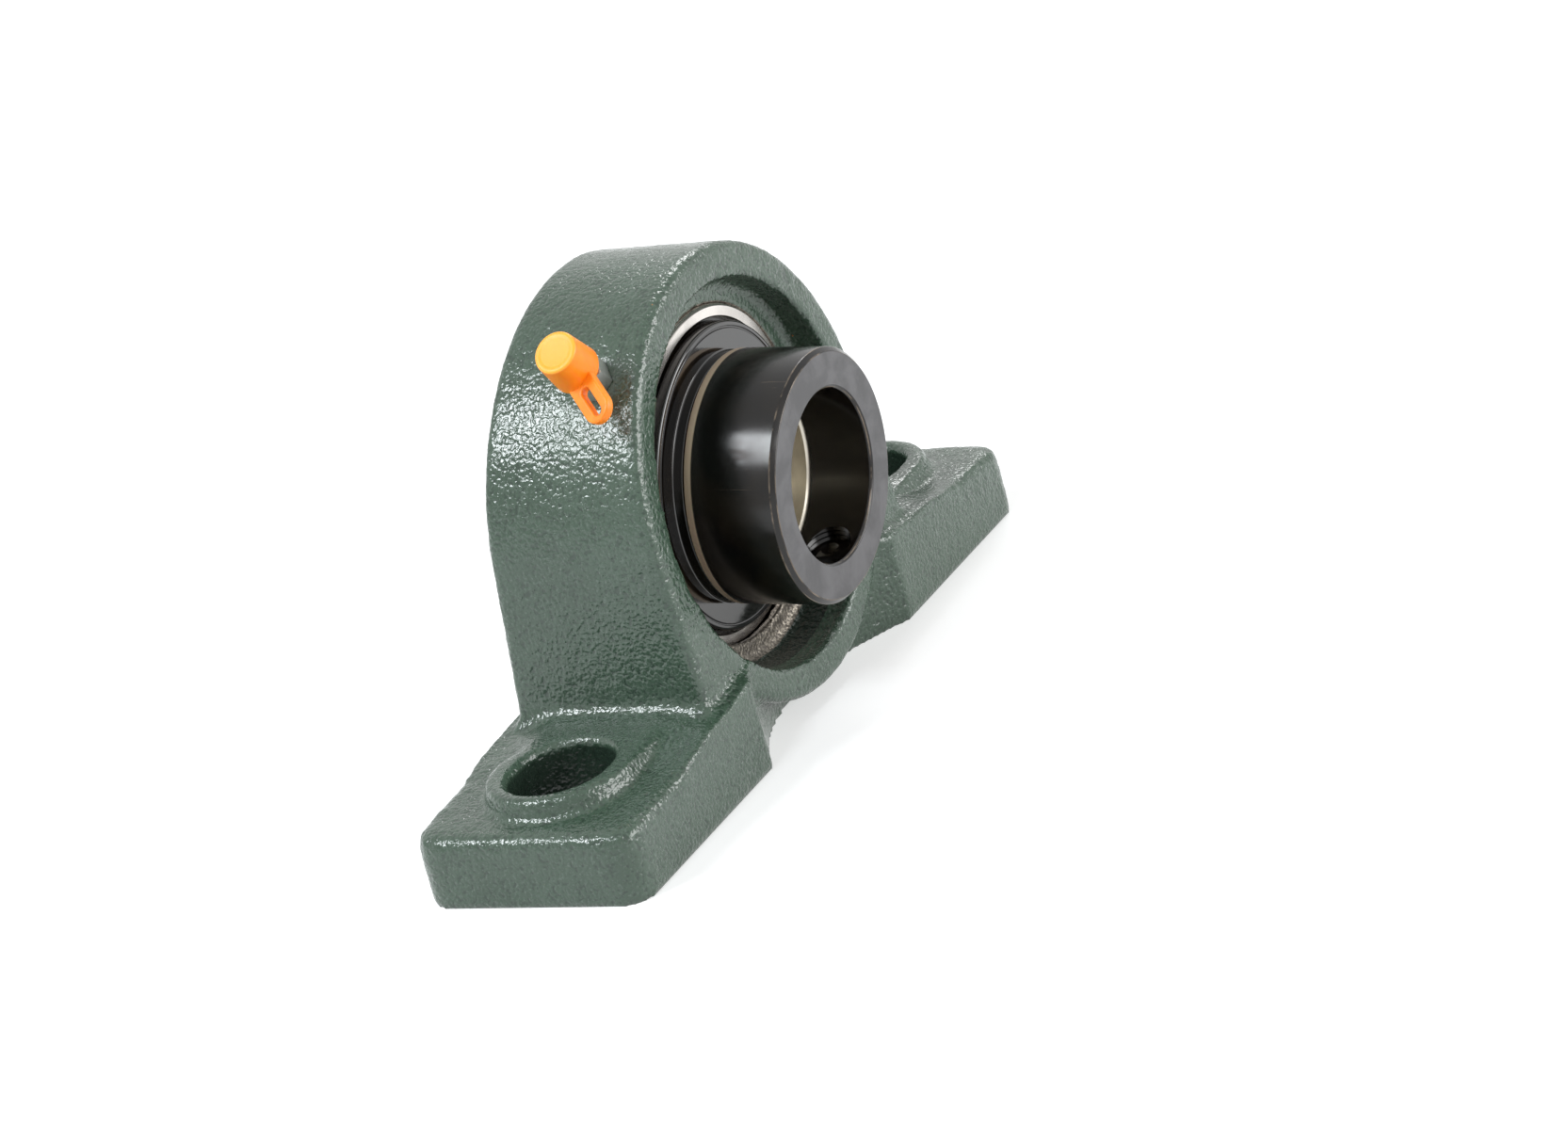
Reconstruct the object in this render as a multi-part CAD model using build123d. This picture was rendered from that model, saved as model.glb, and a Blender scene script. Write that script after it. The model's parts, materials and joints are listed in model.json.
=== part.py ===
from build123d import *
import math
import os

# Pillow block bearing, shaft size 30 mm.  Millimetres, +Z up, the shaft along Y with the locking
# collar toward -Y.  The origin is on the base plane, straight below the bearing centre.

# ---- Cast housing ---------------------------------------------------------------------------
CENTRE_HEIGHT = 42.9        # base plane to shaft centre
BASE_LENGTH = 159.0
BASE_WIDTH = 42.8
BOLT_SPACING = 121.0
SLOT_LENGTH = 20.4
SLOT_WIDTH = 17.6
SLOT_EDGE = 0.8
FOOT_END_HEIGHT = 13.0      # top of the foot at its outer end
FOOT_RISE_HEIGHT = 14.0     # top of the foot where it starts to climb to the hub
FOOT_RISE_START = 56.0
FOOT_TOP_HEIGHT = 17.0      # level top next to the hub, and top of the pads
FOOT_TOP_REACH = 46.0
FOOT_TOP_BLEND = 10.0
PAD_RADIUS = 13.0           # raised pad round each bolt slot
PAD_FLARE = 1.2             # how much wider the pad is at its foot than at its top
PAD_EDGE = 1.0
PLAN_CORNER = 5.2
WAIST_HALF_WIDTH = 12.0     # the base between the feet, at its narrowest
WAIST_RADIUS = 51.0
HUB_RADIUS = 40.2
HUB_CROWN = 0.2             # the hub is that much fuller in the middle of its width
HUB_BLANK_HALF_WIDTH = 24.0
HUB_HALF_WIDTH = 16.75      # at the height of the shaft centre
FACE_DRAFT = 4.7            # degrees each face leans, so that the hub is narrower at the top
FLANK_DRAFT = 1.5           # degrees each flank leans out toward the feet
HUB_EDGE = 1.6              # rounding of the hub's outer edges
CAST_EDGE = 1.2             # rounding of the feet's edges
CAST_ROOT = 2.0             # rounding where walls meet
COUNTERBORE_RADIUS = 34.4   # mouth of the recess round the bearing
COUNTERBORE_DRAFT = 0.8
SEAT_LIP_RADIUS = 32.4      # machined face round the spherical seat
SEAT_HALF_WIDTH = 9.4
LIP_STEP = 0.6              # cast floor of the recess stands this far above the machined face
GREASE_GROOVE_DEPTH = 0.6
GREASE_GROOVE_NEAR = 3.0
GREASE_GROOVE_FAR = 7.0
CORE_HALF_LENGTH = 38.0     # hollow under the hub, left open by the casting core
CORE_HALF_WIDTH = 8.0
CORE_DEPTH = 6.0
CORE_RIB = 8.0
CORE_CORNER = 4.0

# ---- Bearing insert -------------------------------------------------------------------------
SHAFT_BORE = 30.0
INSERT_TILT = 3.0           # degrees the self-aligning insert hangs, collar down
INSERT_DIAMETER = 62.0
SEAT_CLEARANCE = 0.03
OUTER_RING_WIDTH = 17.0
OUTER_RING_FACE_RADIUS = 27.6
OUTER_SHOULDER_RADIUS = 26.1
RING_EDGE = 0.4
INNER_RING_BACK = 18.3      # bearing centre to the plain end of the inner ring
INNER_RING_FRONT = 17.9     # bearing centre to the collar end of the inner ring
INNER_SHOULDER_RADIUS = 20.15
BORE_CHAMFER = 0.6
BALL_DIAMETER = 9.525
BALL_COUNT = 9
PITCH_RADIUS = 23.0
GROOVE_CONFORMITY = 0.52    # raceway radius over ball diameter
RACEWAY_CLEARANCE = 0.02
OIL_HOLE_RADIUS = 0.6
OIL_HOLE_STATION = 4.8
RUNNING_CLEARANCE = 0.03

# ---- Cage -----------------------------------------------------------------------------------
CAGE_INNER_RADIUS = 21.7
CAGE_OUTER_RADIUS = 24.4
CAGE_SHEET = 0.6
CAGE_BALL_CLEARANCE = 0.1
RIVET_RADIUS = 0.8
RIVET_HEAD_RADIUS = 1.3
RIVET_HEAD_HEIGHT = 0.5

# ---- Seals and slingers ---------------------------------------------------------------------
SEAL_STATION = 5.8
SEAL_SHEET = 0.6
SEAL_RIM = 1.3
SEAL_CORE_INNER_RADIUS = 21.6
LIP_FACE_RADIUS = 24.0
LIP_WIDTH = 1.2
SLINGER_FRONT = 10.5        # bearing centre to the slinger's flat face
SLINGER_SHEET = 0.8
SLINGER_GAP = 0.9           # round the slinger's rim, inside the outer ring
SLINGER_RIM_GAP = 0.5       # from the edge of the slinger's rim to the seal behind it
SLINGER_BEND = 0.5
SLINGER_HUB_RADIUS = 21.8
SLINGER_HUB_END = 12.5
SLINGER_GROOVE_INNER = 25.0
SLINGER_GROOVE_OUTER = 25.6
SLINGER_GROOVE_DEPTH = 0.35

# ---- Eccentric locking collar ---------------------------------------------------------------
COLLAR_DIAMETER = 44.5
COLLAR_START = 12.9
COLLAR_WIDTH = 17.2
COLLAR_EDGE = 0.8
COLLAR_TAPER_LENGTH = 2.0   # shallow taper at the bearing end
COLLAR_TAPER = 0.45
COLLAR_BORE_CLEARANCE = 0.05
COLLAR_BORE_CHAMFER = 0.5
CAM_RADIUS = 18.6
CAM_ECCENTRICITY = 0.8
CAM_CLEARANCE = 0.4
CAM_START = 12.6
CAM_END_CLEARANCE = 0.3
SCREW_RADIUS = 4.0
SCREW_LENGTH = 6.0
SCREW_TIP_RADIUS = 16.0
SCREW_ANGLE = 13.0          # degrees from straight down toward +X
SCREW_STATION = 24.6
HEX_SOCKET = 4.0
HEX_SOCKET_DEPTH = 3.0
DRIFT_RADIUS = 3.0
DRIFT_DEPTH = 4.5
DRIFT_ANGLE = 125.0
DRIFT_STATION = 22.0

# ---- Locating pin and loading slot ----------------------------------------------------------
PIN_RADIUS = 1.5
PIN_INNER = 29.3            # from the bearing centre
PIN_OUTER = 32.2
PIN_END_GAP = 0.1
LOADING_SLOT_END = 3.7      # how far the slot runs past the centre plane, toward the collar
LOADING_SLOT_CLEARANCE = 0.3

# ---- Grease nipple and its cap --------------------------------------------------------------
NIPPLE_ANGLE = 43.0         # degrees from straight up toward -X
NIPPLE_STATION = 5.0        # from the centre plane, toward the collar
SPOT_FACE_RADIUS = 5.0
SPOT_FACE_SINK = 0.2        # the flat under the nipple lies that far below the hub's edge line
THREAD_RADIUS = 3.0
THREAD_LENGTH = 5.0
PASSAGE_RADIUS = 1.4
NIPPLE_HEX = 7.0
NIPPLE_HEX_HEIGHT = 4.4
NIPPLE_NECK_RADIUS = 2.4
NIPPLE_NECK_END = 6.8
NIPPLE_HEAD_RADIUS = 3.25
NIPPLE_HEAD_END = 10.4
NIPPLE_TIP_RADIUS = 1.9
NIPPLE_MOUTH_RADIUS = 0.9
NIPPLE_FEED_RADIUS = 0.9
SPRING_SEAT_HEIGHT = 1.5
CHECK_BALL_RADIUS = 1.19
SPRING_WIRE = 0.15
SPRING_RADIUS = 1.0
SPRING_TURNS = 5
CAP_CLEARANCE = 0.1
CAP_START = 5.3
CAP_SKIRT_RADIUS = 4.4
CAP_END_RADIUS = 3.9
CAP_END = 12.9
CAP_WALL = 1.2
CAP_EDGE = 0.6
TAB_ANGLE = 50.0            # degrees the pull loop is turned from the collar side, down the hub
TAB_REACH = 12.5
TAB_WIDTH = 5.6
TAB_THICKNESS = 1.7
TAB_HOLE_LENGTH = 5.2
TAB_HOLE_WIDTH = 2.0

# ---- Places ---------------------------------------------------------------------------------
SPOT_FACE_HEIGHT = HUB_RADIUS - SPOT_FACE_SINK
BEARING_CENTRE = Pos(0, 0, CENTRE_HEIGHT)
INSERT_PLACE = BEARING_CENTRE * Rot(INSERT_TILT, 0, 0)
NIPPLE_PLACE = BEARING_CENTRE * Pos(0, -NIPPLE_STATION, 0) * Rot(0, -NIPPLE_ANGLE, 0)
BALL_RADIUS = BALL_DIAMETER / 2
INSERT_RADIUS = INSERT_DIAMETER / 2
SEAT_RADIUS = INSERT_RADIUS + SEAT_CLEARANCE
OVER = 1.0                  # how far a cutting shape runs past the surface that it opens


# ---- Shared shapes --------------------------------------------------------------------------
def turned(*corners):
    """A ring turned about the shaft axis from its (radius, station) corners."""
    return revolve(make_face(Polyline(*corners, close=True)), Axis.Y)


def drum(radius, start, end):
    """A plain disc about the shaft axis between two stations."""
    return Pos(0, (start + end) / 2, 0) * Rot(90, 0, 0) * Cylinder(radius, abs(end - start))


def both_ends(shape):
    """The shape and its mirror image about the centre plane, as one."""
    return shape + mirror(shape, Plane.XZ)


def around(shape, count, start=0.0):
    """Copies of the shape spaced evenly about the shaft axis."""
    return [Rot(0, start + i * 360 / count, 0) * shape for i in range(count)]


def radial(shape, angle, station):
    """Turn a shape that stands along +Z to point from the shaft axis, angle from straight down."""
    return Pos(0, -station, 0) * Rot(0, 180 - angle, 0) * shape


def save(name, shape):
    export_step(shape, f"parts/{name}.step")


# ---- Housing --------------------------------------------------------------------------------
def crown(side):
    """The hub's outer line from face to face, fuller in the middle, on the +X or -X side."""
    edge = side * HUB_RADIUS
    return ThreePointArc((edge, -side * HUB_BLANK_HALF_WIDTH), (edge + side * HUB_CROWN, 0),
                         (edge, side * HUB_BLANK_HALF_WIDTH))


def face_slab():
    """What lies between the two leaning faces of the hub."""
    lean = math.tan(math.radians(FACE_DRAFT))
    top = CENTRE_HEIGHT + HUB_RADIUS + HUB_CROWN + OVER
    low = HUB_HALF_WIDTH + lean * CENTRE_HEIGHT
    high = HUB_HALF_WIDTH - lean * (top - CENTRE_HEIGHT)
    side = Polyline((-low, 0), (low, 0), (high, top), (-high, top), close=True)
    return extrude(Plane.YZ * make_face(side), 2 * HUB_RADIUS, both=True)


def round_rims(body):
    """Round the outer edges of the hub's two faces, leaving the edges on the base plane."""
    rims = [edge for edge in body.edges() if edge.center().Z > OVER
            and abs(edge.center().Y) > WAIST_HALF_WIDTH]
    return fillet(rims, HUB_EDGE)


def ring():
    """The full round of the hub, which overhangs the waist of the base."""
    wide = HUB_BLANK_HALF_WIDTH
    rest = Polyline((HUB_RADIUS, wide), (0, wide), (0, -wide), (HUB_RADIUS, -wide))
    return revolve(make_face([crown(1), rest]), Axis.Y)


def hub():
    """The round of the hub with the flanks that run down from it to the base."""
    wide = HUB_BLANK_HALF_WIDTH
    section = make_face([crown(1), Line((HUB_RADIUS, wide), (-HUB_RADIUS, wide)), crown(-1),
                         Line((-HUB_RADIUS, -wide), (HUB_RADIUS, -wide))])
    flanks = extrude(section, -CENTRE_HEIGHT, taper=-FLANK_DRAFT)
    return round_rims((BEARING_CENTRE * (ring() + flanks)) & face_slab())


def waist():
    """What is taken from both sides of the base between the feet, below the overhanging ring."""
    scoop = Pos(0, WAIST_HALF_WIDTH + WAIST_RADIUS) * Circle(WAIST_RADIUS)
    scoop = extrude(scoop, FOOT_TOP_HEIGHT)
    return both_ends(scoop) - round_rims((BEARING_CENTRE * ring()) & face_slab())


def base():
    """The base with its two feet, each sloping down to its outer end."""
    half = BASE_LENGTH / 2
    slope = [(FOOT_TOP_REACH, FOOT_TOP_HEIGHT), (FOOT_RISE_START, FOOT_RISE_HEIGHT)]
    end = [(half, FOOT_END_HEIGHT), (half, 0)]
    right = slope + end
    left = [(-x, z) for x, z in reversed(right)]
    side = make_face(Polyline(*left, *right, close=True))
    bends = [corner for corner in side.vertices() if 0 < half - abs(corner.X) and corner.Y > 0]
    side = fillet(bends, FOOT_TOP_BLEND)
    block = extrude(Plane.XZ * side, BASE_WIDTH / 2, both=True)
    block = fillet(block.edges().filter_by(Axis.Z), PLAN_CORNER)
    middle = [edge for edge in block.edges().filter_by(Axis.Y) if abs(edge.center().X) < half - OVER]
    rim = [edge for edge in block.edges() if edge.center().Z > FOOT_END_HEIGHT - OVER]
    return fillet([edge for edge in rim if edge not in middle], CAST_EDGE)


def pad():
    """The raised pad round the bolt slot on the +X side, running in to the hub."""
    lift = FOOT_TOP_HEIGHT - FOOT_END_HEIGHT + OVER
    run = BOLT_SPACING / 2 - FOOT_TOP_REACH
    top = Pos(BOLT_SPACING / 2, 0) * Circle(PAD_RADIUS)
    top += Pos(BOLT_SPACING / 2 - run / 2, 0) * Rectangle(run, 2 * PAD_RADIUS)
    taper = math.degrees(math.atan2(PAD_FLARE, lift))
    boss = extrude(Plane.XY.offset(FOOT_TOP_HEIGHT) * top, -lift, taper=-taper)
    return fillet(boss.edges().group_by(Axis.Z)[-1].sort_by(Axis.X)[1:], PAD_EDGE)


def bolt_slot():
    """The through slot of the foot on the +X side, its top edge rounded."""
    plan = Pos(BOLT_SPACING / 2, 0) * SlotOverall(SLOT_LENGTH, SLOT_WIDTH)
    slot = extrude(plan, FOOT_TOP_HEIGHT)
    mouth = extrude(Plane.XY.offset(FOOT_TOP_HEIGHT - SLOT_EDGE) * plan, 2 * SLOT_EDGE, taper=-45)
    return slot + mouth


def core_hollow():
    """The two shallow pockets that the casting core leaves under the hub."""
    length = CORE_HALF_LENGTH - CORE_RIB / 2
    plan = RectangleRounded(length, 2 * CORE_HALF_WIDTH, CORE_CORNER)
    pocket = extrude(Pos(CORE_RIB / 2 + length / 2, 0) * plan, CORE_DEPTH)
    return pocket + mirror(pocket, Plane.YZ)


def bearing_recess():
    """Spherical seat, machined faces, grease groove and the drafted recess at each side."""
    face = HUB_BLANK_HALF_WIDTH
    floor = SEAT_HALF_WIDTH + LIP_STEP
    mouth = turned((0, SEAT_HALF_WIDTH), (SEAT_LIP_RADIUS, SEAT_HALF_WIDTH),
                   (SEAT_LIP_RADIUS + LIP_STEP, floor),
                   (COUNTERBORE_RADIUS - COUNTERBORE_DRAFT, floor),
                   (COUNTERBORE_RADIUS, HUB_HALF_WIDTH), (COUNTERBORE_RADIUS, face), (0, face))
    groove = drum(INSERT_RADIUS + GREASE_GROOVE_DEPTH, -GREASE_GROOVE_FAR, -GREASE_GROOVE_NEAR)
    return Sphere(SEAT_RADIUS) + groove + both_ends(mouth)


def loading_slots():
    """The notches at 3 and 9 o'clock through which the insert is put in, and where its pin rides."""
    reach = PIN_OUTER + LOADING_SLOT_CLEARANCE
    height = OUTER_RING_WIDTH + 2 * LOADING_SLOT_CLEARANCE
    depth = SEAT_HALF_WIDTH + LOADING_SLOT_END
    middle = (SEAT_HALF_WIDTH - LOADING_SLOT_END) / 2
    return Pos(0, middle, 0) * Box(2 * reach, depth, height)


def nipple_drilling():
    """Spot face, threaded hole and feed hole, about the nipple's own axis."""
    spot = Pos(0, 0, SPOT_FACE_HEIGHT) * Cylinder(
        SPOT_FACE_RADIUS, HUB_RADIUS, align=(Align.CENTER, Align.CENTER, Align.MIN))
    thread = Pos(0, 0, SPOT_FACE_HEIGHT - THREAD_LENGTH) * Cylinder(
        THREAD_RADIUS, THREAD_LENGTH + OVER, align=(Align.CENTER, Align.CENTER, Align.MIN))
    feed = Cylinder(PASSAGE_RADIUS, SPOT_FACE_HEIGHT, align=(Align.CENTER, Align.CENTER, Align.MIN))
    return spot + thread + feed


def housing():
    body = base() + pad() + mirror(pad(), Plane.YZ) + hub()
    roots = [edge for edge in body.edges() if abs(edge.center().Z - FOOT_TOP_HEIGHT) < 0.02
             and HUB_RADIUS - HUB_EDGE - OVER < abs(edge.center().X) < HUB_RADIUS + 2 * OVER]
    body = fillet(roots, CAST_ROOT)
    body -= waist()
    body -= bolt_slot() + mirror(bolt_slot(), Plane.YZ)
    body -= core_hollow()
    body -= BEARING_CENTRE * (bearing_recess() + loading_slots())
    body -= NIPPLE_PLACE * nipple_drilling()
    return body


# ---- Insert ---------------------------------------------------------------------------------
def raceway(centre_shift):
    """The torus that cuts a ball groove, its centre shifted from the pitch circle."""
    return Rot(90, 0, 0) * Torus(PITCH_RADIUS + centre_shift, BALL_DIAMETER * GROOVE_CONFORMITY)


GROOVE_SHIFT = BALL_DIAMETER * (GROOVE_CONFORMITY - 0.5) - RACEWAY_CLEARANCE


def outer_ring():
    half = OUTER_RING_WIDTH / 2
    rim = math.sqrt(INSERT_RADIUS ** 2 - half ** 2)
    blank = turned((OUTER_SHOULDER_RADIUS, 0), (OUTER_SHOULDER_RADIUS, SEAL_STATION),
                   (OUTER_RING_FACE_RADIUS, SEAL_STATION), (OUTER_RING_FACE_RADIUS, half),
                   (rim - RING_EDGE, half), (rim + RING_EDGE, half - 2 * RING_EDGE),
                   (INSERT_RADIUS + OVER, half - 2 * RING_EDGE), (INSERT_RADIUS + OVER, 0))
    ring = both_ends(blank) & Sphere(INSERT_RADIUS)
    ring -= raceway(-GROOVE_SHIFT)
    oil = Pos(0, -OIL_HOLE_STATION, INSERT_RADIUS) * Cylinder(OIL_HOLE_RADIUS, 2 * BALL_DIAMETER)
    ring -= Part() + around(oil, 2, -NIPPLE_ANGLE)
    ring -= Rot(0, 90, 0) * Pos(0, 0, PIN_INNER - PIN_END_GAP) * Cylinder(
        PIN_RADIUS + RUNNING_CLEARANCE, INSERT_RADIUS, align=(Align.CENTER, Align.CENTER, Align.MIN))
    return ring


def locating_pin():
    """The pin in the outer ring's flank that rides in the loading slot and stops the ring turning."""
    return Rot(0, 90, 0) * Pos(0, 0, PIN_INNER) * Cylinder(
        PIN_RADIUS, PIN_OUTER - PIN_INNER, align=(Align.CENTER, Align.CENTER, Align.MIN))


def inner_ring():
    bore = SHAFT_BORE / 2
    sleeve = turned((bore, -INNER_RING_FRONT + BORE_CHAMFER), (bore, INNER_RING_BACK - BORE_CHAMFER),
                    (bore + BORE_CHAMFER, INNER_RING_BACK),
                    (INNER_SHOULDER_RADIUS - BORE_CHAMFER, INNER_RING_BACK),
                    (INNER_SHOULDER_RADIUS, INNER_RING_BACK - BORE_CHAMFER),
                    (INNER_SHOULDER_RADIUS, -INNER_RING_FRONT),
                    (bore + BORE_CHAMFER, -INNER_RING_FRONT))
    cam_end = drum(HUB_RADIUS, -CAM_START, -INNER_RING_FRONT - OVER)
    cam_end -= Pos(CAM_ECCENTRICITY, 0, 0) * drum(CAM_RADIUS, -CAM_START, -INNER_RING_FRONT - OVER)
    return sleeve - cam_end - raceway(GROOVE_SHIFT)


def ball():
    return Sphere(BALL_RADIUS)


def ball_place(index):
    """Where one ball sits, measured from the bearing centre."""
    return Rot(0, index * 360 / BALL_COUNT, 0) * Pos(0, 0, PITCH_RADIUS)


# ---- Riveted ribbon cage --------------------------------------------------------------------
def rivet_places():
    """The places of the rivets, halfway between the balls."""
    step = 360 / BALL_COUNT
    return [Rot(0, (i + 0.5) * step, 0) * Pos(0, 0, PITCH_RADIUS) for i in range(BALL_COUNT)]


def cage_ribbon():
    """The half of the cage on the +Y side: flats between the balls, cups pressed over them."""
    cup = BALL_RADIUS + CAGE_BALL_CLEARANCE
    band = turned((CAGE_INNER_RADIUS, 0), (CAGE_OUTER_RADIUS, 0),
                  (CAGE_OUTER_RADIUS, HUB_RADIUS), (CAGE_INNER_RADIUS, HUB_RADIUS))
    pressed = drum(HUB_RADIUS, 0, CAGE_SHEET)
    for i in range(BALL_COUNT):
        pressed += ball_place(i) * Sphere(cup + CAGE_SHEET)
    ribbon = pressed & band
    for i in range(BALL_COUNT):
        ribbon -= ball_place(i) * Sphere(cup)
    for place in rivet_places():
        ribbon -= place * Rot(90, 0, 0) * Cylinder(RIVET_RADIUS, 4 * CAGE_SHEET)
    return ribbon


def rivet():
    """One rivet along the shaft direction with a flat round head at each end."""
    shank = Cylinder(RIVET_RADIUS, 2 * CAGE_SHEET)
    head = Pos(0, 0, CAGE_SHEET + RIVET_HEAD_HEIGHT / 2) * Cylinder(
        RIVET_HEAD_RADIUS, RIVET_HEAD_HEIGHT)
    head = chamfer(head.edges().group_by(Axis.Z)[-1], RIVET_HEAD_HEIGHT / 2)
    return Rot(90, 0, 0) * (shank + head + mirror(head, Plane.XY))


# ---- Seals and slingers, all drawn for the +Y side ------------------------------------------
def seal_core():
    """The pressed steel shield that snaps into the outer ring."""
    outer = OUTER_RING_FACE_RADIUS
    back = SEAL_STATION + SEAL_SHEET
    return turned((SEAL_CORE_INNER_RADIUS, SEAL_STATION), (outer, SEAL_STATION),
                  (outer, SEAL_STATION + SEAL_RIM), (outer - SEAL_SHEET, SEAL_STATION + SEAL_RIM),
                  (outer - SEAL_SHEET, back), (SEAL_CORE_INNER_RADIUS, back))


def seal_lip():
    """The rubber lip bonded to the shield's inner edge, running on the inner ring."""
    lip = INNER_SHOULDER_RADIUS + RUNNING_CLEARANCE
    back = SEAL_STATION + SEAL_SHEET
    front = SEAL_STATION + LIP_WIDTH
    return turned((lip, SEAL_STATION), (SEAL_CORE_INNER_RADIUS, SEAL_STATION),
                  (SEAL_CORE_INNER_RADIUS, back), (LIP_FACE_RADIUS, back), (LIP_FACE_RADIUS - 0.6, front),
                  (lip, front))


def slinger():
    """The pressed cup on the inner ring that shields the seal, with its hub and pressed groove."""
    rim = OUTER_RING_FACE_RADIUS - SLINGER_GAP
    edge = SEAL_STATION + SEAL_RIM + SLINGER_RIM_GAP
    back = SLINGER_FRONT - SLINGER_SHEET
    hub_edge = SLINGER_SHEET / 3
    cup = turned((INNER_SHOULDER_RADIUS, back), (rim - SLINGER_SHEET, back), (rim - SLINGER_SHEET, edge),
                 (rim, edge), (rim, SLINGER_FRONT - SLINGER_BEND), (rim - SLINGER_BEND, SLINGER_FRONT),
                 (SLINGER_HUB_RADIUS, SLINGER_FRONT), (SLINGER_HUB_RADIUS, SLINGER_HUB_END - hub_edge),
                 (SLINGER_HUB_RADIUS - hub_edge, SLINGER_HUB_END),
                 (INNER_SHOULDER_RADIUS, SLINGER_HUB_END))
    floor = SLINGER_FRONT - SLINGER_GROOVE_DEPTH
    over = SLINGER_FRONT + OVER
    return cup - turned((SLINGER_GROOVE_INNER, floor), (SLINGER_GROOVE_OUTER, floor),
                        (SLINGER_GROOVE_OUTER, over), (SLINGER_GROOVE_INNER, over))


# ---- Locking collar -------------------------------------------------------------------------
def locking_collar():
    """The eccentric collar: bore, cam recess, set-screw hole and a blind hole for the drift."""
    outer = COLLAR_DIAMETER / 2
    bore = SHAFT_BORE / 2 + COLLAR_BORE_CLEARANCE
    back = -COLLAR_START
    front = -COLLAR_START - COLLAR_WIDTH
    body = turned((bore, back), (outer - COLLAR_TAPER, back), (outer, back - COLLAR_TAPER_LENGTH),
                  (outer, front + COLLAR_EDGE), (outer - COLLAR_EDGE, front),
                  (bore + COLLAR_BORE_CHAMFER, front), (bore, front + COLLAR_BORE_CHAMFER))
    recess_end = -INNER_RING_FRONT - CAM_END_CLEARANCE
    body -= Pos(CAM_ECCENTRICITY, 0, 0) * drum(CAM_RADIUS + CAM_CLEARANCE, back + OVER, recess_end)
    body -= radial(Cylinder(SCREW_RADIUS + RUNNING_CLEARANCE, COLLAR_DIAMETER,
                            align=(Align.CENTER, Align.CENTER, Align.MIN)), SCREW_ANGLE, SCREW_STATION)
    drift = Pos(0, 0, outer - DRIFT_DEPTH) * Cylinder(
        DRIFT_RADIUS, outer, align=(Align.CENTER, Align.CENTER, Align.MIN))
    return body - radial(drift, DRIFT_ANGLE, DRIFT_STATION)


def set_screw():
    """The socket set screw, its cup point toward the shaft."""
    tip = SCREW_TIP_RADIUS
    screw = Pos(0, 0, tip) * Cylinder(SCREW_RADIUS, SCREW_LENGTH,
                                      align=(Align.CENTER, Align.CENTER, Align.MIN))
    screw = chamfer(screw.edges().group_by(Axis.Z)[0], SCREW_RADIUS / 5)
    socket = extrude(RegularPolygon(HEX_SOCKET / 2, 6, major_radius=False), HEX_SOCKET_DEPTH + OVER)
    screw -= Pos(0, 0, tip + SCREW_LENGTH - HEX_SOCKET_DEPTH) * socket
    return radial(screw, SCREW_ANGLE, SCREW_STATION)


# ---- Grease nipple, about its own axis from the flat under it -------------------------------
def nipple_profile(*corners):
    """A piece turned about the nipple's axis from (radius, height) corners."""
    return revolve(Plane.XZ * make_face(Polyline(*corners, close=True)), Axis.Z)


def nipple_body():
    shell = nipple_profile(
        (NIPPLE_FEED_RADIUS, -THREAD_LENGTH), (THREAD_RADIUS, -THREAD_LENGTH), (THREAD_RADIUS, 0),
        (NIPPLE_NECK_RADIUS, 0), (NIPPLE_NECK_RADIUS, NIPPLE_NECK_END),
        (NIPPLE_HEAD_RADIUS, NIPPLE_NECK_END + 0.7), (NIPPLE_HEAD_RADIUS, NIPPLE_NECK_END + 1.6),
        (NIPPLE_TIP_RADIUS, NIPPLE_HEAD_END), (NIPPLE_MOUTH_RADIUS, NIPPLE_HEAD_END),
        (NIPPLE_MOUTH_RADIUS, NIPPLE_HEAD_END - CHECK_BALL_RADIUS / 2),
        (PASSAGE_RADIUS, NIPPLE_HEAD_END - CHECK_BALL_RADIUS),
        (PASSAGE_RADIUS, SPRING_SEAT_HEIGHT), (NIPPLE_FEED_RADIUS, SPRING_SEAT_HEIGHT))
    hexagon = extrude(RegularPolygon(NIPPLE_HEX / 2, 6, major_radius=False), NIPPLE_HEX_HEIGHT)
    hexagon -= Cylinder(NIPPLE_NECK_RADIUS, 3 * NIPPLE_HEX_HEIGHT)
    return shell + hexagon


CHECK_BALL_HEIGHT = NIPPLE_HEAD_END - 1.2 * CHECK_BALL_RADIUS


def nipple_ball():
    return Pos(0, 0, CHECK_BALL_HEIGHT) * Sphere(CHECK_BALL_RADIUS)


def nipple_spring():
    """The fine spring between its seat in the nipple and the ball."""
    low = SPRING_SEAT_HEIGHT + 1.2 * SPRING_WIRE
    high = CHECK_BALL_HEIGHT - CHECK_BALL_RADIUS
    path = Helix((high - low) / SPRING_TURNS, high - low, SPRING_RADIUS)
    wire = Plane(origin=path @ 0, z_dir=path % 0) * Circle(SPRING_WIRE)
    return Pos(0, 0, low) * sweep(wire, path, is_frenet=True)


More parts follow.
